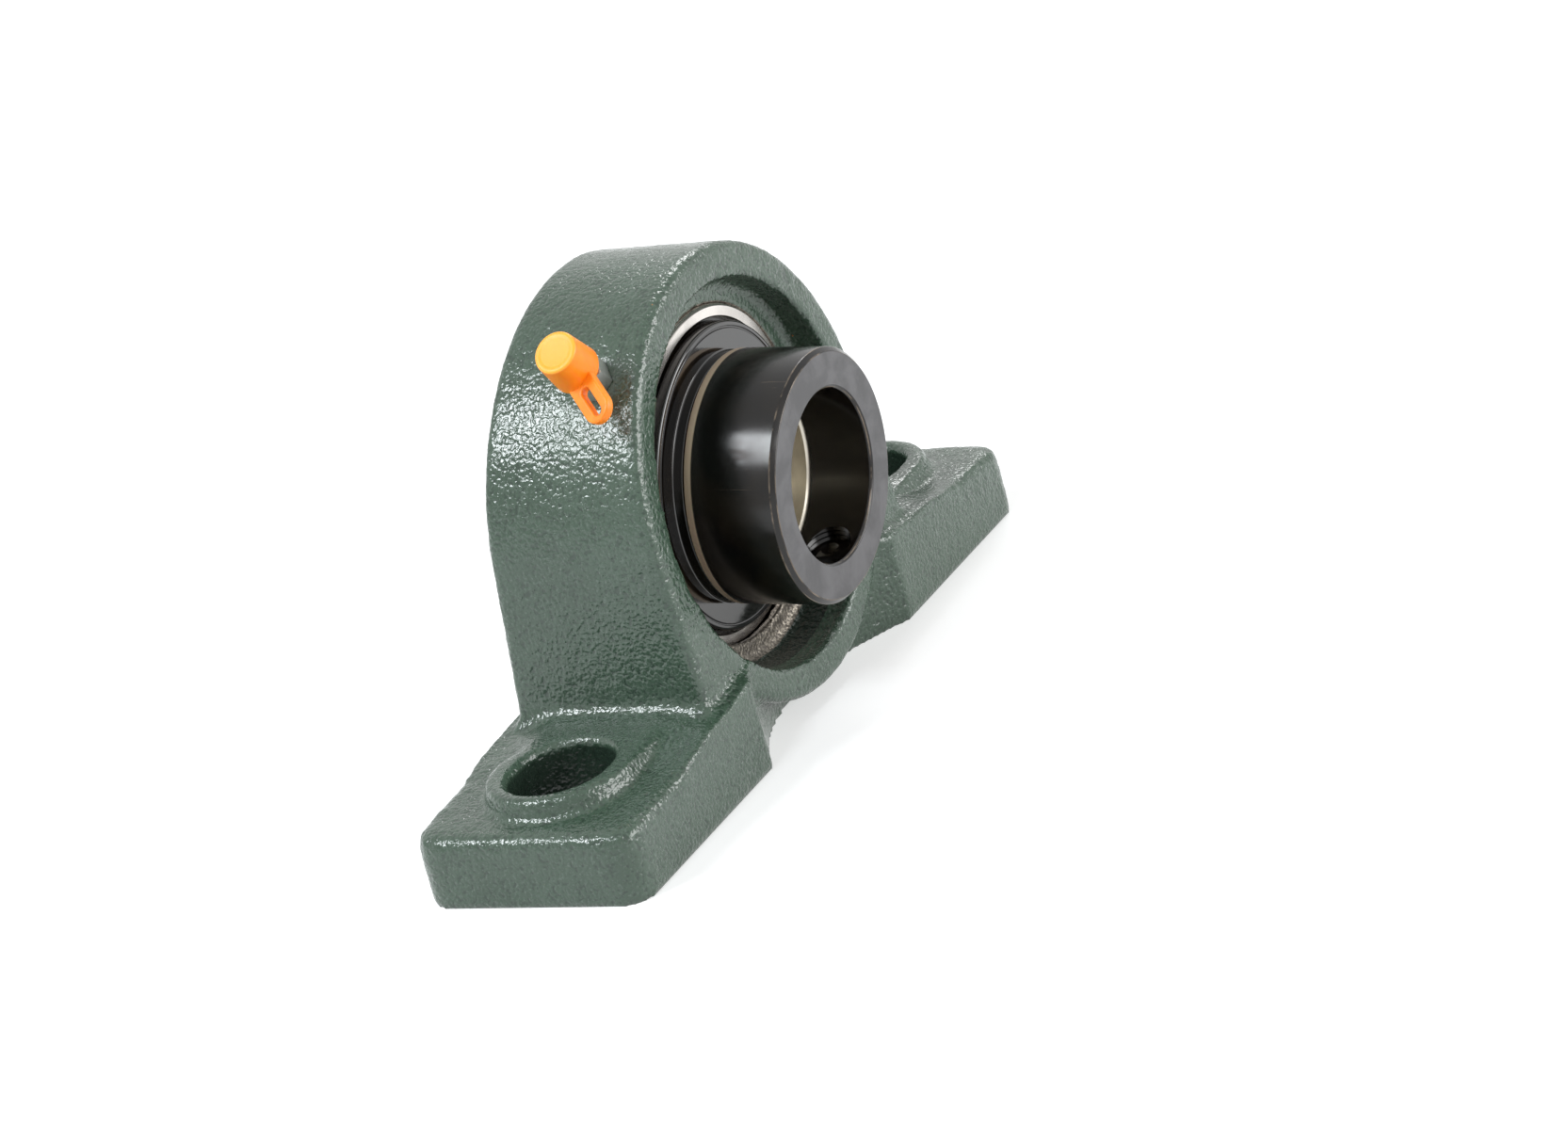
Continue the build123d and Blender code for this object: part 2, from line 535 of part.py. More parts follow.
def nipple_cap():
    """The soft cap over the nipple's head, with the pull loop that hangs from its skirt."""
    inside = NIPPLE_HEAD_RADIUS + CAP_CLEARANCE
    roof = CAP_END - CAP_WALL
    cup = nipple_profile(
        (inside, CAP_START), (CAP_SKIRT_RADIUS, CAP_START), (CAP_END_RADIUS, CAP_END - CAP_EDGE),
        (CAP_END_RADIUS - CAP_EDGE, CAP_END), (0, CAP_END), (0, roof), (inside, roof))
    loop = Pos((TAB_REACH + inside) / 2, 0) * SlotOverall(TAB_REACH - inside + TAB_WIDTH / 2, TAB_WIDTH)
    loop -= Pos(TAB_REACH - TAB_HOLE_LENGTH / 2 - CAP_WALL, 0) * SlotOverall(TAB_HOLE_LENGTH, TAB_HOLE_WIDTH)
    tab = extrude(loop, TAB_THICKNESS)
    tab -= Cylinder(inside, 3 * TAB_THICKNESS)
    return cup + Pos(0, 0, CAP_START) * Rot(0, 0, -90 - TAB_ANGLE) * tab


# ---- Build ----------------------------------------------------------------------------------
def main():
    os.makedirs("parts", exist_ok=True)
    on_nipple = NIPPLE_PLACE * Pos(0, 0, SPOT_FACE_HEIGHT)
    save("housing", housing())
    save("grease_nipple_body", on_nipple * nipple_body())
    save("nipple_check_ball", on_nipple * nipple_ball())
    save("nipple_spring", on_nipple * nipple_spring())
    save("nipple_cap", on_nipple * nipple_cap())
    save("locating_pin", INSERT_PLACE * locating_pin())
    save("outer_ring", INSERT_PLACE * outer_ring())
    save("inner_ring", INSERT_PLACE * inner_ring())
    for name, piece in (("seal_core", seal_core()), ("seal_lip", seal_lip()), ("slinger", slinger())):
        save(f"{name}_back", INSERT_PLACE * piece)
        save(f"{name}_front", INSERT_PLACE * mirror(piece, Plane.XZ))
    ribbon = cage_ribbon()
    save("cage_back", INSERT_PLACE * ribbon)
    save("cage_front", INSERT_PLACE * mirror(ribbon, Plane.XZ))
    save("cage_rivets", Compound([INSERT_PLACE * place * rivet() for place in rivet_places()]))
    for i in range(BALL_COUNT):
        save(f"ball_{i + 1}", INSERT_PLACE * ball_place(i) * ball())
    save("locking_collar", INSERT_PLACE * locking_collar())
    save("set_screw", INSERT_PLACE * set_screw())


main()
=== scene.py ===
"""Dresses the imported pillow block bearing: pieces, finishes, camera and light.

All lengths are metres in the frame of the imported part: the base plane is Z = 0, the feet run along
X, and the locking collar points toward -Y.
"""

import json
import logging
import math
from collections.abc import Mapping, Sequence
from dataclasses import dataclass, field
from enum import Enum

import bpy
from mathutils import Matrix, Vector

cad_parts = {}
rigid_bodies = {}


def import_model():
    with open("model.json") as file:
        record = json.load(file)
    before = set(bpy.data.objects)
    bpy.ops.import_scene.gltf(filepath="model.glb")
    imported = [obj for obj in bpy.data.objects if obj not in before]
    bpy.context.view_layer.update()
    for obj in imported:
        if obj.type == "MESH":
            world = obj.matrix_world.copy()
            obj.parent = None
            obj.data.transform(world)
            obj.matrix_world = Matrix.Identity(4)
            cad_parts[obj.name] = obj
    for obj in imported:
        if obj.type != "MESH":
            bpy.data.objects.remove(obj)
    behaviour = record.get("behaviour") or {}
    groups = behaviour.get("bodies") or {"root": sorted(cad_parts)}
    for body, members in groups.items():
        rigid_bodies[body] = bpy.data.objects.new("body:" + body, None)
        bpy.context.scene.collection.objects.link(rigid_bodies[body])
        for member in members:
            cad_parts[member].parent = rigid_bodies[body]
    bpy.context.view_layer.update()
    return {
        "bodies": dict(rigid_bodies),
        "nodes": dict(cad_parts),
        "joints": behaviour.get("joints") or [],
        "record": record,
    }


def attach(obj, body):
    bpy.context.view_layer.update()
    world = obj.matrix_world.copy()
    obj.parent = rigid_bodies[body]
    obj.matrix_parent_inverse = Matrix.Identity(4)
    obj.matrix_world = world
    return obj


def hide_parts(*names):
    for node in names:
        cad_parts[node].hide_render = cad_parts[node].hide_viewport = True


log = logging.getLogger("pillow_block")

MM = 0.001
IMAGE_WIDTH = 1665
WHITE = (1.0, 1.0, 1.0, 1.0)

# Steps round the large and the small turned pieces.
RING_STEPS = 192
SMALL_STEPS = 48

# How far a cutter reaches past what it cuts.
OVERCUT = 1.0 * MM

# How fine the lathe's rings are, in cells per metre, where a finish doesn't say.
RING_SCALE = 7000.0

Point = tuple[float, float]
Position = tuple[float, float, float]
Colour = tuple[float, float, float]
Outputs = Mapping[str, bpy.types.NodeSocket]


class Body(Enum):
    """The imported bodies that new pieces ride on."""

    HOUSING = "housing"
    CAP = "nipple_cap"
    OUTER = "outer_ring"
    INNER = "inner_ring"
    COLLAR = "locking_collar"
    SCREW = "set_screw"


class Slot(Enum):
    """The record's material slots, by name; no piece in this script is given one."""

    PAINT = "green_paint"
    RING = "ring_steel"
    OXIDE = "black_oxide"
    SEAL = "seal_steel"
    ZINC = "zinc_steel"
    ORANGE = "orange_plastic"


# ---------------------------------------------------------------------------------------------
# Modelling by operators
# ---------------------------------------------------------------------------------------------


def deselect_everything() -> None:
    """Leave object mode with nothing selected."""
    if bpy.context.object is not None and bpy.context.object.mode != "OBJECT":
        bpy.ops.object.mode_set(mode="OBJECT")
    bpy.ops.object.select_all(action="DESELECT")


def make_active(piece: bpy.types.Object) -> None:
    """Select one object alone and make it the active one.

    Args:
        piece: the object that the next operators act on.
    """
    deselect_everything()
    piece.select_set(True)
    bpy.context.view_layer.objects.active = piece


def name_new(name: str) -> bpy.types.Object:
    """Name the object that an operator has just added.

    Args:
        name: the new name, also given to its mesh.

    Returns:
        The object.
    """
    piece = bpy.context.object
    piece.name = name
    piece.data.name = name
    return piece


def lathe(name: str, outline: Sequence[Point], segments: int, closed: bool = True) -> bpy.types.Object:
    """Draw an outline by extruding one point and spin it about the Z axis.

    Args:
        name: the new object's name.
        outline: (radius, height) corners in metres.
        segments: how many steps make the full turn.
        closed: whether the last corner joins the first; an open outline starts and ends on the axis.

    Returns:
        The turned object, closed and with its faces outwards.
    """
    weld = 0.002 * MM
    deselect_everything()
    bpy.ops.mesh.primitive_plane_add(size=MM)
    piece = name_new(name)
    bpy.ops.object.mode_set(mode="EDIT")
    bpy.ops.mesh.select_mode(type="VERT")
    bpy.ops.mesh.merge(type="CENTER")
    start = outline[0]
    bpy.ops.transform.translate(value=(start[0], 0, start[1]))
    last = start
    for corner in outline[1:]:
        step = (corner[0] - last[0], 0, corner[1] - last[1])
        bpy.ops.mesh.extrude_region_move(TRANSFORM_OT_translate={"value": step})
        last = corner
    if closed:
        bpy.ops.object.mode_set(mode="OBJECT")
        for vertex in piece.data.vertices:
            vertex.select = vertex.index in (0, len(outline) - 1)
        bpy.ops.object.mode_set(mode="EDIT")
        bpy.ops.mesh.edge_face_add()
    bpy.ops.mesh.select_all(action="SELECT")
    bpy.ops.mesh.spin(steps=segments, angle=2 * math.pi, center=(0, 0, 0), axis=(0, 0, 1))
    bpy.ops.mesh.select_all(action="SELECT")
    bpy.ops.mesh.remove_doubles(threshold=weld)
    bpy.ops.mesh.normals_make_consistent(inside=False)
    bpy.ops.object.mode_set(mode="OBJECT")
    return piece


def apply_modifier(piece: bpy.types.Object, kind: str, **settings: object) -> None:
    """Add a modifier, set it and apply it.

    Args:
        piece: the object that gets it.
        kind: Blender's modifier type.
        settings: the modifier's own settings.
    """
    make_active(piece)
    modifier = piece.modifiers.new(kind.lower(), kind)
    for key, value in settings.items():
        setattr(modifier, key, value)
    bpy.ops.object.modifier_apply(modifier=modifier.name)


def soften(piece: bpy.types.Object, width: float, segments: int, angle: float) -> None:
    """Bevel every edge that is sharper than an angle.

    Args:
        piece: the object to soften.
        width: the bevel's width in metres.
        segments: how many strips round the edge.
        angle: the sharpness in degrees from which an edge counts.
    """
    apply_modifier(piece, "BEVEL", width=width, segments=segments, limit_method="ANGLE",
                   angle_limit=math.radians(angle), harden_normals=False, use_clamp_overlap=True)


def cut(piece: bpy.types.Object, cutter: bpy.types.Object, operation: str = "DIFFERENCE") -> None:
    """Boolean one object with another and delete the second.

    Args:
        piece: the object that keeps the result.
        cutter: the object that is used up.
        operation: DIFFERENCE, UNION or INTERSECT.
    """
    apply_modifier(piece, "BOOLEAN", operation=operation, object=cutter, solver="EXACT")
    mesh = cutter.data
    bpy.data.objects.remove(cutter)
    bpy.data.meshes.remove(mesh)


def place(piece: bpy.types.Object, matrix: Matrix) -> None:
    """Move a piece to its place and put the move into its mesh.

    Args:
        piece: the object to move.
        matrix: where its own frame goes.
    """
    piece.matrix_world = matrix
    make_active(piece)
    bpy.ops.object.transform_apply(location=True, rotation=True, scale=True)


def smooth(piece: bpy.types.Object, angle: float = 35.0) -> None:
    """Shade smooth, with edges sharper than an angle kept and large faces left flat up to their edges.

    Args:
        piece: the object to shade.
        angle: the limit in degrees.
    """
    make_active(piece)
    bpy.ops.object.shade_smooth_by_angle(angle=math.radians(angle))
    apply_modifier(piece, "WEIGHTED_NORMAL", mode="FACE_AREA", weight=50, keep_sharp=True)


def cylinder(name: str, radius: float, low: float, high: float, segments: int = 64) -> bpy.types.Object:
    """Turn a plain cylinder about the Z axis.

    Args:
        name: the new object's name.
        radius: its radius.
        low: the height of its lower end.
        high: the height of its upper end.
        segments: how many steps make the full turn.

    Returns:
        The cylinder.
    """
    return lathe(name, [(0, low), (radius, low), (radius, high), (0, high)], segments, False)


def hexagon_bar(name: str, flat: float, length: float, middle: float) -> bpy.types.Object:
    """Add a hexagonal bar along the Z axis.

    Args:
        name: the new object's name.
        flat: how far its flats lie from the axis.
        length: its length.
        middle: the height of its middle.

    Returns:
        The bar.
    """
    deselect_everything()
    bpy.ops.mesh.primitive_cylinder_add(vertices=6, radius=flat / math.cos(math.pi / 6), depth=length,
                                        location=(0, 0, middle))
    bar = name_new(name)
    place(bar, bar.matrix_world.copy())
    return bar


def ease(value: float, low: float, high: float) -> float:
    """A soft step from 0 at one value to 1 at another.

    Args:
        value: the value.
        low: where the step starts.
        high: where it ends.

    Returns:
        The share.
    """
    share = min(1.0, max(0.0, (value - low) / (high - low)))
    return share * share * (3.0 - 2.0 * share)


def arc(centre: Point, radius: float, start: float, end: float, steps: int) -> list[Point]:
    """Points along an arc in the outline's plane.

    Args:
        centre: the arc's centre as (radius, height).
        radius: the arc's own radius.
        start: the first angle in degrees, 0 along +radius and 90 along +height.
        end: the last angle in degrees.
        steps: how many chords.

    Returns:
        The points, both ends included.
    """
    turns = (math.radians(start + (end - start) * i / steps) for i in range(steps + 1))
    return [(centre[0] + radius * math.cos(turn), centre[1] + radius * math.sin(turn)) for turn in turns]


def ridges(inner: float, outer: float, start: float, pitch: float, turns: int) -> list[Point]:
    """The ridges that a thread leaves along an outline, each one out and back in again.

    Args:
        inner: the radius between two ridges.
        outer: the radius on a ridge.
        start: the height of the first ridge's foot.
        pitch: how far apart the ridges stand.
        turns: how many there are.

    Returns:
        The points after the first foot.
    """
    points: list[Point] = []
    for turn in range(turns):
        foot = start + turn * pitch
        points += [(outer, foot + 0.5 * pitch), (inner, foot + pitch)]
    return points


# ---------------------------------------------------------------------------------------------
# Node trees
# ---------------------------------------------------------------------------------------------


class Graph:
    """A shorthand for one node tree."""

    def __init__(self, tree: bpy.types.NodeTree) -> None:
        """Hold the tree.

        Args:
            tree: the tree that nodes are added to.
        """
        self.tree = tree

    def node(self, kind: str, inputs: dict[str | int, object] | None = None,
             **settings: object) -> bpy.types.Node:
        """Add a node.

        Args:
            kind: the node's type name.
            inputs: socket name or number to a value or to another node's output.
            settings: the node's own settings.

        Returns:
            The node.
        """
        made = self.tree.nodes.new(kind)
        for key, value in settings.items():
            setattr(made, key, value)
        for key, value in (inputs or {}).items():
            self.feed(made.inputs[key], value)
        return made

    def feed(self, socket: bpy.types.NodeSocket, value: object) -> None:
        """Link an output to a socket, or set the socket's own value.

        Args:
            socket: the input.
            value: an output socket or a plain value.
        """
        if isinstance(value, bpy.types.NodeSocket):
            self.tree.links.new(value, socket)
        else:
            socket.default_value = value

    def effect(self, group: bpy.types.NodeTree, values: dict[str, object] | None = None) -> Outputs:
        """Place one of the shared groups.

        Args:
            group: the group.
            values: its own inputs.

        Returns:
            Its outputs by name.
        """
        return self.node("ShaderNodeGroup", values, node_tree=group).outputs

    def spot(self) -> bpy.types.NodeSocket:
        """The object coordinates of the point that is shaded."""
        return self.node("ShaderNodeTexCoord").outputs["Object"]

    def math(self, operation: str, first: object, second: object = 0.0,
             clamp: bool = False) -> bpy.types.NodeSocket:
        """Add a Math node and return its output.

        Args:
            operation: the Math node's operation.
            first: the first value or socket.
            second: the second value or socket.
            clamp: whether the result stays between 0 and 1.

        Returns:
            The result socket.
        """
        made = self.node("ShaderNodeMath", {0: first, 1: second}, operation=operation, use_clamp=clamp)
        return made.outputs[0]

    def times(self, first: object, second: object, clamp: bool = False) -> bpy.types.NodeSocket:
        """The product of two values."""
        return self.math("MULTIPLY", first, second, clamp)

    def plus(self, first: object, second: object) -> bpy.types.NodeSocket:
        """The sum of two values."""
        return self.math("ADD", first, second)

    def gap(self, first: object, second: object) -> bpy.types.NodeSocket:
        """How far apart two values are."""
        return self.math("ABSOLUTE", self.math("SUBTRACT", first, second))

    def greater(self, first: object, second: object) -> bpy.types.NodeSocket:
        """The greater of two values."""
        return self.math("MAXIMUM", first, second)

    def below(self, value: object, limit: object) -> bpy.types.NodeSocket:
        """A mask that is 1 where a value is less than a limit."""
        return self.math("LESS_THAN", value, limit)

    def vector(self, operation: str, first: object, second: object = (0.0, 0.0, 0.0)) -> Outputs:
        """Add a Vector Math node.

        Args:
            operation: the node's operation.
            first: the first vector or socket.
            second: the second vector or socket.

        Returns:
            Its outputs, Vector and Value.
        """
        return self.node("ShaderNodeVectorMath", {0: first, 1: second}, operation=operation).outputs

    def step(self, value: object, low: float, high: float) -> bpy.types.NodeSocket:
        """Map a value smoothly from 0 at low to 1 at high.

        Args:
            value: the socket to map.
            low: where the result is 0.
            high: where the result is 1.

        Returns:
            The result socket.
        """
        made = self.node("ShaderNodeMapRange", {"Value": value, "From Min": low, "From Max": high},
                         interpolation_type="SMOOTHSTEP")
        return made.outputs["Result"]

    def mix(self, factor: object, first: object, second: object) -> bpy.types.NodeSocket:
        """Mix two colours.

        Args:
            factor: how much of the second.
            first: a colour or socket.
            second: a colour or socket.

        Returns:
            The colour socket.
        """
        # The node's colours are inputs 6 and 7 and output 2.
        made = self.node("ShaderNodeMix", {0: factor, 6: first, 7: second}, data_type="RGBA")
        return made.outputs[2]

    def blend(self, factor: object, first: object, second: object) -> bpy.types.NodeSocket:
        """Mix two numbers.

        Args:
            factor: how much of the second.
            first: a number or socket.
            second: a number or socket.

        Returns:
            The number socket.
        """
        # The node's numbers are inputs 2 and 3 and output 0.
        made = self.node("ShaderNodeMix", {0: factor, 2: first, 3: second}, data_type="FLOAT")
        return made.outputs[0]

    def noise(self, vector: object, scale: float, detail: float = 3.0, roughness: float = 0.5,
              distortion: float = 0.0) -> bpy.types.NodeSocket:
        """Add a noise texture and return its value.

        Args:
            vector: the coordinates.
            scale: cells per metre.
            detail: octaves.
            roughness: how strong the finer octaves are.
            distortion: how far the pattern is pulled about.

        Returns:
            The value socket.
        """
        made = self.node("ShaderNodeTexNoise", {"Vector": vector, "Scale": scale, "Detail": detail,
                                                "Roughness": roughness, "Distortion": distortion})
        return made.outputs["Fac"]


def rgba(colour: Colour) -> tuple[float, float, float, float]:
    """The colour with full alpha."""
    return (*colour, 1.0)


def new_group(name: str, inputs: dict[str, float | Vector],
              outputs: Sequence[str]) -> tuple[Graph, Outputs, bpy.types.Node]:
    """Start a shader node group that takes numbers or vectors and puts out numbers.

    Args:
        name: the group's name.
        inputs: socket name to its default.
        outputs: the names of the outputs.

    Returns:
        The group's graph, the sockets that hold what it is given, and its output node.
    """
    tree = bpy.data.node_groups.new(name, "ShaderNodeTree")
    for key, value in inputs.items():
        kind = "NodeSocketVector" if isinstance(value, Vector) else "NodeSocketFloat"
        tree.interface.new_socket(name=key, in_out="INPUT", socket_type=kind).default_value = value
    for key in outputs:
        tree.interface.new_socket(name=key, in_out="OUTPUT", socket_type="NodeSocketFloat")
    graph = Graph(tree)
    return graph, graph.node("NodeGroupInput").outputs, graph.node("NodeGroupOutput")


@dataclass(frozen=True)
class Axis:
    """A line about which a finish or a piece is turned."""

    origin: Vector
    direction: Vector

    def matrix(self) -> Matrix:
        """Where a frame stands whose Z lies along the axis."""
        turn = Vector((0, 0, 1)).rotation_difference(self.direction)
        return Matrix.Translation(self.origin) @ turn.to_matrix().to_4x4()

    def branch(self, station: float, direction: Vector) -> "Axis":
        """The line that leaves the axis at a station in another direction.

        Args:
            station: how far along the axis it starts.
            direction: where it runs.

        Returns:
            The line.
        """
        return Axis(self.origin + self.direction * station, direction)


class Effects:
    """The node groups that several finishes share, built once."""

    def __init__(self) -> None:
        """Build every group."""
        self.cast = self.cast_skin()
        self.smudge = self.smudges()
        self.wear = self.edge_wear()
        self.chips = self.chip_spots()
        self.lathe = self.lathe_marks()
        self.scratch = self.hairlines()

    def turned(self, graph: Graph, axis: Axis, scale: float = RING_SCALE) -> Outputs:
        """Place the lathe marks about an axis.

        Args:
            graph: the material's graph.
            axis: the line about which the piece is turned.
            scale: how fine the rings are.

        Returns:
            The outputs Radius, Station and Rings.
        """
        return graph.effect(self.lathe, {"Origin": axis.origin, "Direction": axis.direction, "Scale": scale})

    def cast_skin(self) -> bpy.types.NodeTree:
        """Sand-cast roughness under paint: soft worm-like lumps, finer grain on them, broader waves below.

        Returns:
            The group, with outputs Height and Hollows.
        """
        lump_share, grain_share, wave_share = 0.64, 0.11, 0.25
        grain_finer, wave_finer = 2.3, 0.4
        graph, given, out = new_group("cast_skin", {"Scale": 700.0}, ("Height", "Hollows"))
        spot, scale = graph.spot(), given["Scale"]
        lumps = graph.noise(spot, scale, 0.6, 0.4, 0.35)
        grain = graph.noise(spot, graph.times(scale, grain_finer), 1.0)
        waves = graph.noise(spot, graph.times(scale, wave_finer), 1.0)
        height = graph.plus(graph.times(lumps, lump_share), graph.times(grain, grain_share))
        height = graph.plus(height, graph.times(waves, wave_share))
        graph.feed(out.inputs["Height"], graph.step(height, 0.25, 0.75))
        # Hollows marks the skin's low places, where the enamel gets painted shade.
        graph.feed(out.inputs["Hollows"], graph.step(height, 0.47, 0.36))
        return graph.tree

    def smudges(self) -> bpy.types.NodeTree:
        """Broad uneven patches of handling and dust.

        Returns:
            The group, with output Mask.
        """
        graph, given, out = new_group("smudges", {"Scale": 60.0}, ("Mask",))
        cloud = graph.noise(graph.spot(), given["Scale"], 4.0, 0.62, 0.4)
        graph.feed(out.inputs["Mask"], graph.step(cloud, 0.38, 0.66))
        return graph.tree

    def edge_wear(self) -> bpy.types.NodeTree:
        """Outside edges that handling has rubbed, broken up by noise.

        Returns:
            The group, with output Mask.
        """
        raggedness = 0.10
        graph, given, out = new_group("edge_wear", {"From": 0.53, "To": 0.60, "Scale": 500.0}, ("Mask",))
        edge = graph.node("ShaderNodeNewGeometry").outputs["Pointiness"]
        ragged = graph.math("SUBTRACT", graph.noise(graph.spot(), given["Scale"], 3.0, 0.6), 0.5)
        lifted = graph.plus(edge, graph.times(ragged, raggedness))
        ranged = graph.node("ShaderNodeMapRange", {"Value": lifted, "From Min": given["From"],
                                                   "From Max": given["To"]})
        graph.feed(out.inputs["Mask"], ranged.outputs["Result"])
        return graph.tree

    def chip_spots(self) -> bpy.types.NodeTree:
        """Small separate spots, such as chips in paint, in a few of the cells that the surface falls into.

        Returns:
            The group, with output Mask.
        """
        raggedness, ragged_scale, spared = 0.10, 1800.0, 0.9
        graph, given, out = new_group("chip_spots", {"Scale": 300.0, "Size": 0.16}, ("Mask",))
        spot = graph.spot()
        cells = graph.node("ShaderNodeTexVoronoi", {"Vector": spot, "Scale": given["Scale"],
                                                    "Randomness": 1.0}).outputs
        ragged = graph.times(graph.noise(spot, ragged_scale), raggedness)
        near = graph.below(graph.plus(cells["Distance"], ragged), given["Size"])
        chance = graph.node("ShaderNodeSeparateColor", {0: cells["Color"]}).outputs[0]
        graph.feed(out.inputs["Mask"], graph.times(near, graph.math("GREATER_THAN", chance, spared)))
        return graph.tree

    def lathe_marks(self) -> bpy.types.NodeTree:
        """Where a point lies about a turning axis, and the fine rings that turning leaves there.

        Returns:
            The group, with outputs Radius, Station and Rings.
        """
        inputs = {"Origin": Vector(), "Direction": Vector((0, 0, 1)), "Scale": RING_SCALE}
        graph, given, out = new_group("lathe_marks", inputs, ("Radius", "Station", "Rings"))
        offset = graph.vector("SUBTRACT", graph.spot(), given["Origin"])["Vector"]
        station = graph.vector("DOT_PRODUCT", offset, given["Direction"])["Value"]
        span = graph.vector("LENGTH", offset)["Value"]
        square = graph.math("SUBTRACT", graph.times(span, span), graph.times(station, station))
        radius = graph.math("SQRT", graph.greater(square, 0.0))
        path = graph.node("ShaderNodeCombineXYZ", {0: radius, 1: station, 2: 0.0})
        graph.feed(out.inputs["Radius"], radius)
        graph.feed(out.inputs["Station"], station)
        graph.feed(out.inputs["Rings"], graph.noise(path.outputs[0], given["Scale"], 2.0, 0.7))
        return graph.tree

    def hairlines(self) -> bpy.types.NodeTree:
        """A few fine handling scratches that run roughly along an axis.

        Returns:
            The group, with output Mask.
        """
        drawn_out, patch_scale = 0.93, 110.0
        inputs = {"Direction": Vector((0, 1, 0)), "Scale": 900.0}
        graph, given, out = new_group("hairlines", inputs, ("Mask",))
        spot, way = graph.spot(), given["Direction"]
        station = graph.vector("DOT_PRODUCT", spot, way)["Value"]
        pulled = graph.node("ShaderNodeVectorMath", {0: way, "Scale": graph.times(station, -drawn_out)},
                            operation="SCALE")
        drawn = graph.vector("ADD", spot, pulled.outputs["Vector"])["Vector"]
        lines = graph.step(graph.noise(drawn, given["Scale"], 3.0, 0.7, 0.3), 0.66, 0.71)
        rare = graph.step(graph.noise(spot, patch_scale, 2.0), 0.52, 0.60)
        graph.feed(out.inputs["Mask"], graph.times(lines, rare))
        return graph.tree


def new_material(name: str) -> tuple[bpy.types.Material, Graph, bpy.types.Node]:
    """Start a material with one Principled shader.

    Args:
        name: the material's name.

    Returns:
        The material, its graph and its shader node.
    """
    material = bpy.data.materials.new(name)
    material.use_nodes = True
    graph = Graph(material.node_tree)
    return material, graph, material.node_tree.nodes["Principled BSDF"]


def set_bump(graph: Graph, shader: bpy.types.Node, height: object, distance: float,
             strength: float = 1.0) -> None:
    """Feed a height into the shader's normal.

    Args:
        graph: the material's graph.
        shader: the Principled shader.
        height: the height socket.
        distance: the height's full range in metres.
        strength: how much of it shows.
    """
    bump = graph.node("ShaderNodeBump", {"Height": height, "Distance": distance, "Strength": strength})
    graph.feed(shader.inputs["Normal"], bump.outputs["Normal"])


